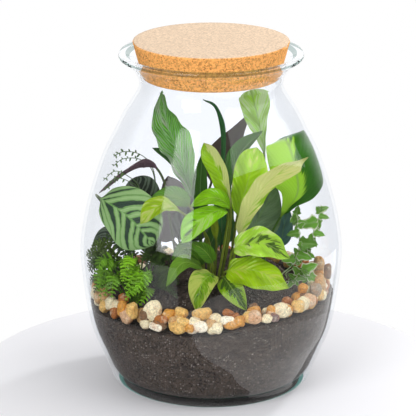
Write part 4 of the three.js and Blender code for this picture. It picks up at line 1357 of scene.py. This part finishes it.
def painted_leaf(name, colours, veins, lean, sweep, reach, wide=(0.2, 0.47)):
    """A thin satin leaf: dark spindles between its side veins, short and long in turn, on pale bands.

    Its colours are those of the bands, of the spindles' fringe, of the spindles and of its underside.
    """
    material, tree = new_material(name)
    x, y, side, away = leaf_places(tree)
    count = vein_count(tree, y, away, veins, lean, sweep)
    right = add_node(tree, "ShaderNodeMath", {"operation": "GREATER_THAN", 0: x, 1: 0.0}).outputs[0]
    wobble_place = add_node(tree, "ShaderNodeCombineXYZ", {0: y, 1: x, 2: 2.0}).outputs[0]
    wobble = add_node(
        tree, "ShaderNodeTexNoise", {"Scale": 6.0, "Detail": 3.0, "Vector": wobble_place}
    ).outputs["Fac"]
    moved = weighted(tree, [(0.35, wobble), (0.5, right), (1, count)])
    whole = add_node(tree, "ShaderNodeMath", {"operation": "FLOOR", 0: moved}).outputs[0]
    part = add_node(tree, "ShaderNodeMath", {"operation": "FRACT", 0: moved}).outputs[0]
    odd = add_node(tree, "ShaderNodeMath", {"operation": "PINGPONG", 0: whole, 1: 1.0}).outputs[0]
    length = weighted(tree, [(reach[1] - reach[0], odd)], reach[0])
    out = add_node(tree, "ShaderNodeMath", {"operation": "DIVIDE", 0: away, 1: length}).outputs[0]
    square = add_node(tree, "ShaderNodeMath", {"operation": "POWER", 0: out, 1: 1.2}).outputs[0]
    left = add_node(
        tree, "ShaderNodeMath", {"operation": "SUBTRACT", "use_clamp": True, 0: 1.0, 1: square}
    ).outputs[0]
    root = add_node(tree, "ShaderNodeMath", {"operation": "SQRT", 0: left}).outputs[0]
    widest = weighted(tree, [(wide[1] - wide[0], odd)], wide[0])
    fat = add_node(tree, "ShaderNodeMath", {"operation": "MULTIPLY", 0: root, 1: widest}).outputs[0]
    middle_line = weighted(tree, [(1, part)], -0.5)
    off = add_node(tree, "ShaderNodeMath", {"operation": "ABSOLUTE", 0: middle_line}).outputs[0]
    inside = add_node(tree, "ShaderNodeMath", {"operation": "SUBTRACT", 0: fat, 1: off}).outputs[0]
    blotch = add_node(
        tree, "ShaderNodeMapRange", {"From Min": -0.03, "From Max": 0.05, "Value": inside}
    ).outputs[0]
    rib = add_node(
        tree, "ShaderNodeMapRange", {"From Min": 0.02, "From Max": 0.06, "Value": away}
    ).outputs[0]
    kept = add_node(tree, "ShaderNodeMath", {"operation": "MULTIPLY", 0: blotch, 1: rib}).outputs[0]
    fringe = add_node(
        tree, "ShaderNodeMapRange", {"From Min": -0.22, "From Max": 0.0, "Value": inside}
    ).outputs[0]
    fine = add_node(tree, "ShaderNodeMath", {"operation": "MULTIPLY", 0: count, 1: 5.0}).outputs[0]
    ladder = add_node(tree, "ShaderNodeMath", {"operation": "PINGPONG", 0: fine, 1: 0.5}).outputs[0]
    hatch = add_node(
        tree, "ShaderNodeMapRange", {"From Max": 0.5, "To Min": 0.84, "To Max": 1.08, "Value": ladder}
    ).outputs[0]
    stalk = add_node(
        tree, "ShaderNodeMapRange", {"From Min": 0.01, "From Max": -0.02, "Value": y}
    ).outputs[0]
    back = add_node(tree, "ShaderNodeMath", {"operation": "SUBTRACT", 0: 1.0, 1: side}).outputs[0]
    light, middle, paint, under = (linear(code) for code in colours)
    colour = layered(
        tree,
        light,
        [
            ("MIX", fringe, middle),
            ("MIX", kept, paint),
            ("MIX", back, under),
            ("MULTIPLY", 1.0, hatch),
            ("MIX", stalk, linear("5F6E46")),
        ],
    )
    bump = add_node(tree, "ShaderNodeBump", {"Strength": 0.6, "Distance": 0.0006, "Height": ladder})
    skin = add_node(
        tree,
        "ShaderNodeBsdfPrincipled",
        {
            "Roughness": 0.42,
            "IOR": 1.4,
            "Specular IOR Level": 0.4,
            "Base Color": colour,
            "Normal": bump.outputs["Normal"],
        },
    )
    finish_material(tree, skin.outputs[0])
    return material


class LeafSettings(bpy.types.PropertyGroup):
    """How finely the leaves are made, and how full the fern is"""

    steps: IntProperty(name="Steps", description="Rings along a blade", min=24, max=96, default=56)
    fronds: IntProperty(name="Fronds", description="More fronds in a tuft of fern", min=0, max=9, default=6)


class TERRARIUM_OT_lime_leaves(bpy.types.Operator):
    """Grow the lime and cream variegated plant in the middle"""

    bl_idname = "terrarium.lime_leaves"
    bl_label = "Lime leaves"

    def execute(self, context):
        steps = context.scene.terrarium.leaves.steps
        for number, leaf in enumerate(LIME_LEAVES, 1):
            material = fleshy_leaf(f"waxy lime leaf {number:02d}", leaf["look"])
            cluster = leaf_cluster(leaf, number, steps)
            cluster.make(f"lime_blade_{number:02d}", material, "lime_leaf", [f"lime_leaf_{number:02d}"])
        return {"FINISHED"}


class TERRARIUM_OT_lily_leaves(bpy.types.Operator):
    """Grow the tall dark green leaves behind the middle plant"""

    bl_idname = "terrarium.lily_leaves"
    bl_label = "Dark green leaves"

    def execute(self, context):
        steps = context.scene.terrarium.leaves.steps
        for number, leaf in enumerate(LILY_LEAVES, 1):
            look = {"vein_and_sheen": "8CB46E", "stalk": "5E8A3A", **leaf["look"]}
            material = fleshy_leaf(f"waxy dark leaf {number:02d}", look, veins=16, lean=7.0, gloss=0.28)
            cluster = leaf_cluster(leaf, number, steps)
            cluster.make(f"lily_blade_{number:02d}", material, "lily_leaf", [f"lily_leaf_{number:02d}"])
        return {"FINISHED"}


class TERRARIUM_OT_striped_leaves(bpy.types.Operator):
    """Grow the round striped leaves with purple undersides at the left and the back"""

    bl_idname = "terrarium.striped_leaves"
    bl_label = "Striped leaves"

    def execute(self, context):
        steps = context.scene.terrarium.leaves.steps
        looks = {
            "painted": painted_leaf(
                "satin striped leaf", ("96B978", "6A9A4A", "263C2C", "6A4A55"),
                veins=7, lean=1.5, sweep=1.2, reach=(0.5, 0.97), wide=(0.12, 0.36),
            ),
            "dark": painted_leaf(
                "satin dark striped leaf", ("5F6E5C", "39482F", "1D281D", "3C3236"),
                veins=7, lean=2.0, sweep=1.0, reach=(0.6, 1.0),
            ),
            "violet": painted_leaf(
                "satin leaf with a violet back", ("7D8C6E", "4E5A41", "39412F", "6E5660"),
                veins=10, lean=2.4, sweep=0.0, reach=(0.6, 0.9),
            ),
            "umber": painted_leaf(
                "satin leaf with an umber back", ("5A5F41", "3C3F2A", "2A2A20", "5A4E4B"),
                veins=10, lean=2.4, sweep=0.0, reach=(0.6, 0.9),
            ),
        }
        for number, leaf in enumerate(STRIPED_LEAVES, 1):
            cluster = leaf_cluster(leaf, number, steps)
            name = f"striped_blade_{number:02d}"
            cluster.make(name, looks[leaf["look"]], "striped_leaf", [f"striped_leaf_{number:02d}"])
        return {"FINISHED"}


# The fronds at the back and low down are a darker green, painted shade, and the three in front a brighter
# green, painted light.
FERN_FRONDS = [
    dict(foot=(-64, -18), rib=[(-76, -13, 106), (-90, -10, 122), (-101, -9, 119)],
         width=15, face=(-0.3, -0.7, 0.6), green="465F0A"),
    dict(foot=(-68, -23), rib=[(-82, -22, 104), (-94, -23, 112), (-101, -22, 101)],
         width=14, face=(-0.5, -0.6, 0.5), green="324B0F"),
    dict(foot=(-66, -31), rib=[(-78, -37, 113), (-86, -43, 117), (-89, -48, 98)],
         width=17, face=(-0.6, -0.7, 0.2), green="6EA505"),
    dict(foot=(-62, -36), rib=[(-66, -45, 112), (-69, -53, 121), (-72, -62, 112)],
         width=15, face=(-0.2, -0.7, 0.6), green="8CC80A"),
    dict(foot=(-57, -39), rib=[(-55, -50, 106), (-57, -61, 110), (-65, -71, 98)],
         width=16, face=(-0.2, -0.9, 0.4), green="82BE0A"),
    dict(foot=(-53, -33), rib=[(-47, -42, 103), (-40, -50, 108), (-34, -57, 102)],
         width=14, face=(0.1, -0.7, 0.7), green="324B14"),
    dict(foot=(-60, -26), rib=[(-66, -20, 114), (-75, -10, 131), (-85, -2, 138)],
         width=15, face=(-0.2, -0.7, 0.7), green="28460F"),
    dict(foot=(-55, -24), rib=[(-53, -18, 112), (-48, -18, 123), (-42, -22, 126)],
         width=14, face=(0.1, -0.7, 0.7), green="3C5A14"),
]
# Pairs of leaflets on the first frond of a tuft and on its others, and how far those stand from the first.
FERN_PAIRS = 9
MORE_PAIRS = 10
FROND_SPREAD = 17
# An ivy leaf is its place on the stem from 0 to 1, its turn in degrees from the right, and its length.
IVY_SPRAYS = [
    dict(foot=(64, -6), stem=[(76, -4, 104), (84, 0, 122), (90, 4, 138), (93, 7, 149)],
         leaves=[(0.4, 195, 9), (0.6, -8, 10), (0.74, 186, 17), (0.84, -5, 9), (0.96, 25, 8)]),
    dict(foot=(60, -14), stem=[(68, -12, 104), (74, -10, 118), (74, -6, 134), (72, 0, 146)],
         leaves=[(0.36, 182, 12), (0.42, -10, 13), (0.56, 8, 16), (0.7, 182, 11), (0.85, 10, 8),
                 (1, 80, 9)]),
    dict(foot=(62, -24), stem=[(70, -26, 96), (76, -24, 103), (82, -26, 99)],
         leaves=[(0.3, 230, 9), (0.52, 120, 10), (0.74, 35, 15), (0.97, -20, 12)]),
]
# A creeping stem has so many leaflets, in turns left and right, and none on its bare share.
CREEPER_SPRAYS = [
    dict(foot=(-44, 34), turns=10, bare=0.5,
         stem=[(-46, 28, 150), (-49, 20, 180), (-59, 16, 193), (-72, 10, 197), (-80, 6, 194)]),
    dict(foot=(-42, -10), turns=8, bare=0.55,
         stem=[(-54, -2, 140), (-60, 3, 168), (-68, -5, 180), (-78, -14, 187), (-87, -11, 178)]),
]
# The way that leaflets face.
SPRAY_FACE = np.array([0, -1, 0.35])
# Half width of an ivy leaf at places from its root to its tip, as a share of its length: three points.
IVY_PLACES = [0, 0.1, 0.24, 0.36, 0.5, 0.62, 0.8, 1]
IVY_HALVES = [0.06, 0.3, 0.46, 0.3, 0.26, 0.27, 0.16, 0.0]
# Leaves that each ivy stem has besides those listed, and stems in each creeper.
SMALL_IVY = 15
TWIGS = 2
CREEPER_LEAF = 2.6
# The narrowest half of a leaflet, and the range of the numbers that give leaflets their tones.
THREAD = 0.2
MARKS = 50
# Lobes on each edge of a fern's leaflet.
LOBES = 3.5


def soft_leaflet(name, green, gloss, edge=None):
    """Thin soft leaflets: satin green that differs from one to the next, some with a pale edge."""
    material, tree = new_material(name)
    away = leaf_places(tree)[3]
    mark = add_node(tree, "ShaderNodeAttribute", {"attribute_name": "leaf_mark"}).outputs["Fac"]
    chance = add_node(
        tree, "ShaderNodeTexWhiteNoise", {"noise_dimensions": "1D", "W": mark}
    ).outputs["Value"]
    tone = add_node(
        tree, "ShaderNodeMapRange", {"To Min": 0.55, "To Max": 1.25, "Value": chance}
    ).outputs[0]
    rib = add_node(
        tree,
        "ShaderNodeMapRange",
        {"From Min": 0.05, "From Max": 0.2, "To Min": 0.3, "To Max": 0.0, "Value": away},
    ).outputs[0]
    layers = [("MULTIPLY", 1.0, tone), ("MIX", rib, linear("B9D88E"))]
    if edge:
        rim = add_node(
            tree, "ShaderNodeMapRange", {"From Min": 0.7, "From Max": 0.82, "Value": away}
        ).outputs[0]
        share = add_node(
            tree, "ShaderNodeMapRange", {"From Min": 0.3, "From Max": 0.6, "Value": chance}
        ).outputs[0]
        border = add_node(tree, "ShaderNodeMath", {"operation": "MULTIPLY", 0: rim, 1: share}).outputs[0]
        layers.append(("MIX", border, linear(edge)))
    colour = layered(tree, linear(green), layers)
    skin = add_node(
        tree, "ShaderNodeBsdfPrincipled", {"Roughness": gloss, "IOR": 1.35, "Base Color": colour}
    )
    lit = add_node(tree, "ShaderNodeBsdfTranslucent", {"Color": colour})
    mix = add_node(tree, "ShaderNodeMixShader", {0: 0.25, 1: skin.outputs[0], 2: lit.outputs[0]})
    finish_material(tree, mix.outputs[0])
    return material


def loose_leaf(root, direction, length, outline, droop=0.12, face=SPRAY_FACE, **shape):
    """A leaflet on its own short rib, drooping a little towards its tip."""

    def at(share):
        return root + direction * length * share + np.array([0, 0, -droop * length * share * share])

    return sweep_leaf([at(-0.06), at(0.5), at(1.0)], 0, outline, face, thick=LEAFLET, **shape)


class TERRARIUM_OT_fern(bpy.types.Operator):
    """Grow the little fern at the lower left, each frond with lobed leaflets"""

    bl_idname = "terrarium.fern"
    bl_label = "Fern"

    @staticmethod
    def grow_frond(cluster, points, face, width, pairs, draw):
        """Add one frond: a thin stalk with lobed leaflets in pairs, longest at its middle."""
        stalk = drawn_outline([(0, 0.6, 0.6), (1, 0.3, 0.3)])
        cluster.add(sweep_leaf(points, ROOTS, stalk, face, fold=0, across=2, stem_radius=0.7, steps=16))
        first = ROOTS / (len(points) - 1)
        for pair in range(pairs):
            place = first + (1 - first) * (pair + 0.5) / pairs
            centre, after = curve_points(points, [place, min(place + 0.02, 1)])
            ahead = unit(after - centre)
            side = unit(np.cross(ahead, face))
            up = np.cross(side, ahead)
            size = 0.5 * width * float(leaf_outline(np.array((pair + 0.7) / (pairs + 0.3)), (0.5, 0.7)))
            for way in (-1, 1):
                # Leaflets lean towards the frond's tip and a little upwards.
                direction = unit(way * side + 0.35 * ahead + 0.12 * up)
                length = size * (0.9 + 0.2 * draw())
                broad = 0.15 * length + 0.3

                def lobed(along, broad=broad):
                    half = broad * leaf_outline(np.clip(along, 0, 1), (0.3, 0.4))
                    half = half * (0.6 + 0.4 * np.abs(np.sin(along * np.pi * LOBES)))
                    return np.maximum(half, THREAD), np.maximum(half, THREAD)

                top = up + 0.5 * (draw() - 0.5) * side
                leaflet = loose_leaf(
                    centre, direction, length, lobed, droop=0.15, face=top, steps=13, across=2, fold=10
                )
                cluster.add(leaflet, draw() * MARKS)

    def execute(self, context):
        for number, frond in enumerate(FERN_FRONDS, 1):
            material = soft_leaflet(f"soft fern leaflet {number}", frond["green"], gloss=0.42)
            cluster = Cluster()
            points = np.array([*root_points(frond["foot"]), *frond["rib"]], float)
            ends = np.linspace(0, 1, len(points)) ** 0.7
            face = np.array(frond["face"], float)
            draw = seeded_random(40 + number)
            self.grow_frond(cluster, points, face, frond["width"], FERN_PAIRS, draw)
            for _ in range(context.scene.terrarium.leaves.fronds):
                shift = np.array([draw() - 0.5, draw() - 0.5, draw() - 0.6]) * FROND_SPREAD
                reach = 0.72 + 0.28 * draw()
                moved = points[0] + (points - points[0]) * (1, 1, reach) + shift * ends[:, None]
                moved[1] = points[1] + 0.2 * shift
                turned = face + 0.5 * np.array([draw() - 0.5, draw() - 0.5, draw() - 0.5])
                width = frond["width"] * (0.55 + 0.3 * draw())
                self.grow_frond(cluster, moved, turned, width, MORE_PAIRS, draw)
            cluster.make(f"fern_blade_{number}", material, "fern", [f"fern_frond_{number}"])
        return {"FINISHED"}


class TERRARIUM_OT_ivy(bpy.types.Operator):
    """Train the small white-edged ivy at the right"""

    bl_idname = "terrarium.ivy"
    bl_label = "Ivy"

    def execute(self, context):
        material = soft_leaflet("variegated ivy leaf", "78B43C", gloss=0.4, edge="EBEED2")
        for number, spray in enumerate(IVY_SPRAYS, 1):
            points = [*root_points(spray["foot"]), *spray["stem"]]
            first = 2 / (len(points) - 1)
            cluster = Cluster()
            stalk = drawn_outline([(0, 0.55, 0.55), (1, 0.3, 0.3)])
            cluster.add(
                sweep_leaf(
                    points, len(points) - 2, stalk, (1, 0, 0.2), fold=0, across=2, stem_radius=0.7, steps=10
                )
            )
            draw = seeded_random(60 + number)
            small = [(0.2 + 0.8 * draw(), 360 * draw(), 5 + 4 * draw()) for _ in range(SMALL_IVY)]
            for place, degrees, length in spray["leaves"] + small:
                # A leaf at the tip starts just before the stem's end.
                at = first + (1 - first) * (0.99 if place == 1 else place)
                root = curve_points(points, [at])[0]
                angle = math.radians(degrees)
                direction = unit(np.array([math.cos(angle), -0.15, math.sin(angle)]))

                def lobed(along, length=length):
                    half = np.interp(along, IVY_PLACES, IVY_HALVES) * length
                    return np.maximum(half, THREAD), np.maximum(half, THREAD)

                leaflet = loose_leaf(
                    root, direction, length, lobed, steps=22, across=8, fold=14, ripple=0.3
                )
                cluster.add(leaflet, draw() * MARKS)
            cluster.make(f"ivy_trail_{number}", material, "ivy", [f"ivy_spray_{number}"])
        return {"FINISHED"}


class TERRARIUM_OT_creeper(bpy.types.Operator):
    """Hang the two thin creeping stems with tiny leaflets at the upper left"""

    bl_idname = "terrarium.creeper"
    bl_label = "Creeper"

    @staticmethod
    def grow_twig(cluster, points, spray, draw):
        """Add one thin stem with small leaflets that stand left and right of it in turn."""
        stalk = drawn_outline([(0, 0.4, 0.4), (1, 0.25, 0.25)])
        cluster.add(
            sweep_leaf(points, ROOTS, stalk, SPRAY_FACE, fold=0, across=2, stem_radius=0.5, steps=60)
        )
        first = ROOTS / (len(points) - 1)
        for turn in range(spray["turns"]):
            share = spray["bare"] + (1 - spray["bare"]) * (turn + 0.9 * draw()) / spray["turns"]
            place = first + (1 - first) * share
            centre, after = curve_points(points, [place, min(place + 0.01, 1)])
            ahead = unit(after - centre)
            side = unit(np.cross(ahead, SPRAY_FACE))
            way = -1 if turn % 2 == 0 else 1
            length = CREEPER_LEAF * (0.7 + 0.7 * draw())
            direction = unit(way * side + 0.4 * ahead)
            oval = blade_outline(0.5 * length, (0.5, 0.6))
            leaflet = loose_leaf(centre, direction, length, oval, steps=10, across=4, fold=12)
            cluster.add(leaflet, draw() * MARKS)

    def execute(self, context):
        material = soft_leaflet("tiny creeper leaflet", "5C7A48", gloss=0.5)
        draw = seeded_random(5)
        for number, spray in enumerate(CREEPER_SPRAYS, 1):
            cluster = Cluster()
            points = np.array([*root_points(spray["foot"]), *spray["stem"]], float)
            ends = np.linspace(0, 1, len(points)) ** 2
            for twig in range(TWIGS):
                shift = np.array([8 * draw() - 4, 6 * draw() - 3, -8 * twig])
                self.grow_twig(cluster, points + shift * ends[:, None], spray, draw)
            cluster.make(f"creeper_trail_{number}", material, "creeper", [f"creeper_spray_{number}"])
        return {"FINISHED"}


# The stand's top lies just under the jar's base.
STAND_TOP = -0.3
# Width of the camera's sensor, and its shift, as the jar stands a little right of the middle in the view.
SENSOR = 36
SHIFT = -0.0077


class StageSettings(bpy.types.PropertyGroup):
    """The stand, the camera and the white seen through the glass"""

    floor: colour_setting("Stand", "Colour of the pale stand", "F2F2F6")
    radius: FloatProperty(name="Radius", description="Radius of the stand", unit="LENGTH", default=0.208)
    away: FloatProperty(name="Distance", description="Camera to the jar", unit="LENGTH", default=2.15)
    height: FloatProperty(name="Height", description="Camera above the base", unit="LENGTH", default=0.8023)
    pitch: FloatProperty(
        name="Pitch", description="How far it looks down", subtype="ANGLE", default=math.radians(16.86)
    )
    lens: FloatProperty(name="Lens", description="Focal length", subtype="DISTANCE_CAMERA", default=230.4)
    through: FloatProperty(
        name="Through glass",
        description="Extra white seen through glass",
        subtype="FACTOR",
        min=0,
        max=1,
        default=0.13,
    )


def add_softbox(name, place, aim, size, power):
    """A rectangular light at a place in metres, aimed at a point."""
    light = bpy.data.lights.new(name, "AREA")
    light.shape = "RECTANGLE"
    light.size, light.size_y = size
    light.energy = power
    lamp = bpy.data.objects.new(name, light)
    lamp.location = place
    lamp.rotation_euler = (Vector(aim) - Vector(place)).to_track_quat("-Z", "Y").to_euler()
    bpy.context.scene.collection.objects.link(lamp)
    return lamp


def add_panel(name, corner, along, up, power):
    """A rectangular light with one corner and two edges given, which shines away from along x up."""
    along, up = Vector(along), Vector(up)
    panel = add_softbox(name, (0, 0, 0), (0, 0, -1), (along.length, up.length), power)
    turned = Matrix((along.normalized(), up.normalized(), along.cross(up).normalized())).transposed()
    panel.matrix_world = Matrix.Translation(Vector(corner) + (along + up) / 2) @ turned.to_4x4()
    return panel


class TERRARIUM_OT_stage(bpy.types.Operator):
    """Set the pale stand, the soft light and the camera"""

    bl_idname = "terrarium.stage"
    bl_label = "Stage"

    def execute(self, context):
        settings = context.scene.terrarium.stage
        edge = settings.radius / MM
        rim = [(edge - 2, -14), (edge, -12), (edge, -2.2), (edge - 1.8, -0.4), (edge - 3, STAND_TOP)]
        vertices, faces = lathe([(0, -14), *rim, (0, STAND_TOP)], 128)
        material, tree = new_material("matt painted stand")
        paint = add_node(
            tree, "ShaderNodeBsdfPrincipled", {"Base Color": (*settings.floor, 1.0), "Roughness": 0.7}
        )
        finish_material(tree, paint.outputs[0])
        mesh = bpy.data.meshes.new("stand")
        mesh.from_pydata((vertices * MM).tolist(), [], faces)
        mesh.materials.append(material)
        stand = bpy.data.objects.new("stand", mesh)
        context.scene.collection.objects.link(stand)
        stand.visible_glossy = False

        world = bpy.data.worlds.new("white studio")
        context.scene.world = world
        world.use_nodes = True
        tree = world.node_tree
        tree.nodes.clear()
        coords = add_node(tree, "ShaderNodeTexCoord")
        way = add_node(tree, "ShaderNodeSeparateXYZ", {0: coords.outputs["Generated"]})
        # The room behind the jar is bright, and the side where the camera stands is darker.
        behind = add_node(
            tree,
            "ShaderNodeMapRange",
            {"From Min": 0.6, "From Max": 0.98, "To Min": 0.1, "To Max": 0.95, "Value": way.outputs["Y"]},
        ).outputs[0]
        above = add_node(
            tree,
            "ShaderNodeMapRange",
            {"From Min": -0.3, "From Max": 0.9, "To Min": 0.1, "To Max": 0.7, "Value": way.outputs["Z"]},
        ).outputs[0]
        rays = add_node(tree, "ShaderNodeLightPath")
        lit = add_node(
            tree, "ShaderNodeMix", {0: rays.outputs["Is Diffuse Ray"], 2: 1.0, 3: above}
        ).outputs[0]
        mirrored = add_node(
            tree, "ShaderNodeMath", {"operation": "MINIMUM", 0: rays.outputs["Glossy Depth"], 1: 1.0}
        ).outputs[0]
        seen = add_node(tree, "ShaderNodeMix", {0: mirrored, 2: lit, 3: behind}).outputs[0]
        passed = rays.outputs["Is Transmission Ray"]
        through = add_node(
            tree, "ShaderNodeMath", {"operation": "MULTIPLY_ADD", 0: passed, 1: settings.through, 2: 1.0}
        ).outputs[0]
        strength = add_node(
            tree, "ShaderNodeMath", {"operation": "MULTIPLY", 0: seen, 1: through}
        ).outputs[0]
        sky = add_node(tree, "ShaderNodeBackground", {"Color": linear("FFFFFF"), "Strength": strength})
        output = add_node(tree, "ShaderNodeOutputWorld")
        tree.links.new(sky.outputs[0], output.inputs["Surface"])

        # The glass mirrors a tall softbox at the left and a long lit wall at the right as pale veils.
        add_softbox("left softbox", (-0.91, -1.43, 1.06), (-0.01, -0.02, 1.06), (0.94, 1.7), 21)
        add_panel("right wall", (0.748, -1.592, 1.2), (5.934, 4.98, 0), (0, 0, 1.9), 86)
        add_softbox("left low panel", (-1.18, -1.22, -0.36), (-0.01, -0.02, -0.36), (0.9, 0.86), 2)
        # The glass over the soil mirrors the slanting edge of this panel.
        floor = add_panel(
            "floor panel", (0.487, 0.443, -0.02), (0.318, -0.258, 0), (-0.592, -0.725, 0), 2.1
        )
        floor.visible_camera = False
        floor.visible_transmission = False
        overhead = add_softbox("overhead", (0.5, 0.3, 1.5), (0, 0, 0.1), (0.5, 0.5), 1.2)
        overhead.visible_glossy = False
        lamp = add_softbox("back lamp", (0.55, 0.52, 0.65), (0, 0, 0.05), (0.1, 0.1), 2.6)
        lamp.visible_glossy = False

        camera_data = bpy.data.cameras.new("camera")
        camera_data.lens = settings.lens
        camera_data.sensor_width = SENSOR
        camera_data.shift_x = SHIFT
        camera = bpy.data.objects.new("camera", camera_data)
        camera.location = (0, -settings.away, settings.height)
        camera.rotation_euler = Euler((math.pi / 2 - settings.pitch, 0, 0))
        context.scene.collection.objects.link(camera)
        context.scene.camera = camera
        context.scene.view_settings.view_transform = "Standard"
        context.scene.view_settings.look = "None"
        return {"FINISHED"}


class TerrariumSettings(bpy.types.PropertyGroup):
    """All that a user may change"""

    jar: PointerProperty(name="Jar", description="The glass jar", type=JarSettings)
    cork: PointerProperty(name="Cork", description="The lid", type=CorkSettings)
    soil: PointerProperty(name="Soil", description="The soil", type=SoilSettings)
    stones: PointerProperty(name="Stones", description="The pebbles", type=StoneSettings)
    leaves: PointerProperty(name="Leaves", description="The plants", type=LeafSettings)
    stage: PointerProperty(name="Stage", description="Stand, light and camera", type=StageSettings)


OPERATORS = (
    TERRARIUM_OT_stage,
    TERRARIUM_OT_cork_lid,
    TERRARIUM_OT_soil,
    TERRARIUM_OT_big_stones,
    TERRARIUM_OT_gravel_ring,
    TERRARIUM_OT_lime_leaves,
    TERRARIUM_OT_lily_leaves,
    TERRARIUM_OT_striped_leaves,
    TERRARIUM_OT_fern,
    TERRARIUM_OT_ivy,
    TERRARIUM_OT_creeper,
    TERRARIUM_OT_glass_jar,
)


class TERRARIUM_PT_panel(bpy.types.Panel):
    """The terrarium's pieces in the order they are made"""

    bl_idname = "TERRARIUM_PT_panel"
    bl_label = "Terrarium"
    bl_space_type = "VIEW_3D"
    bl_region_type = "UI"
    bl_category = "Terrarium"

    def draw(self, context):
        for operator in OPERATORS:
            self.layout.operator(operator.bl_idname)


CLASSES = (
    JarSettings,
    CorkSettings,
    SoilSettings,
    StoneSettings,
    LeafSettings,
    StageSettings,
    TerrariumSettings,
    *OPERATORS,
    TERRARIUM_PT_panel,
)


def register():
    for each in CLASSES:
        bpy.utils.register_class(each)
    bpy.types.Scene.terrarium = PointerProperty(type=TerrariumSettings)


def unregister():
    del bpy.types.Scene.terrarium
    for each in reversed(CLASSES):
        bpy.utils.unregister_class(each)


def main():
    """Build every piece in order."""
    register()
    for operator in OPERATORS:
        group, name = operator.bl_idname.split(".")
        getattr(getattr(bpy.ops, group), name)()


if __name__ == "__main__":
    main()
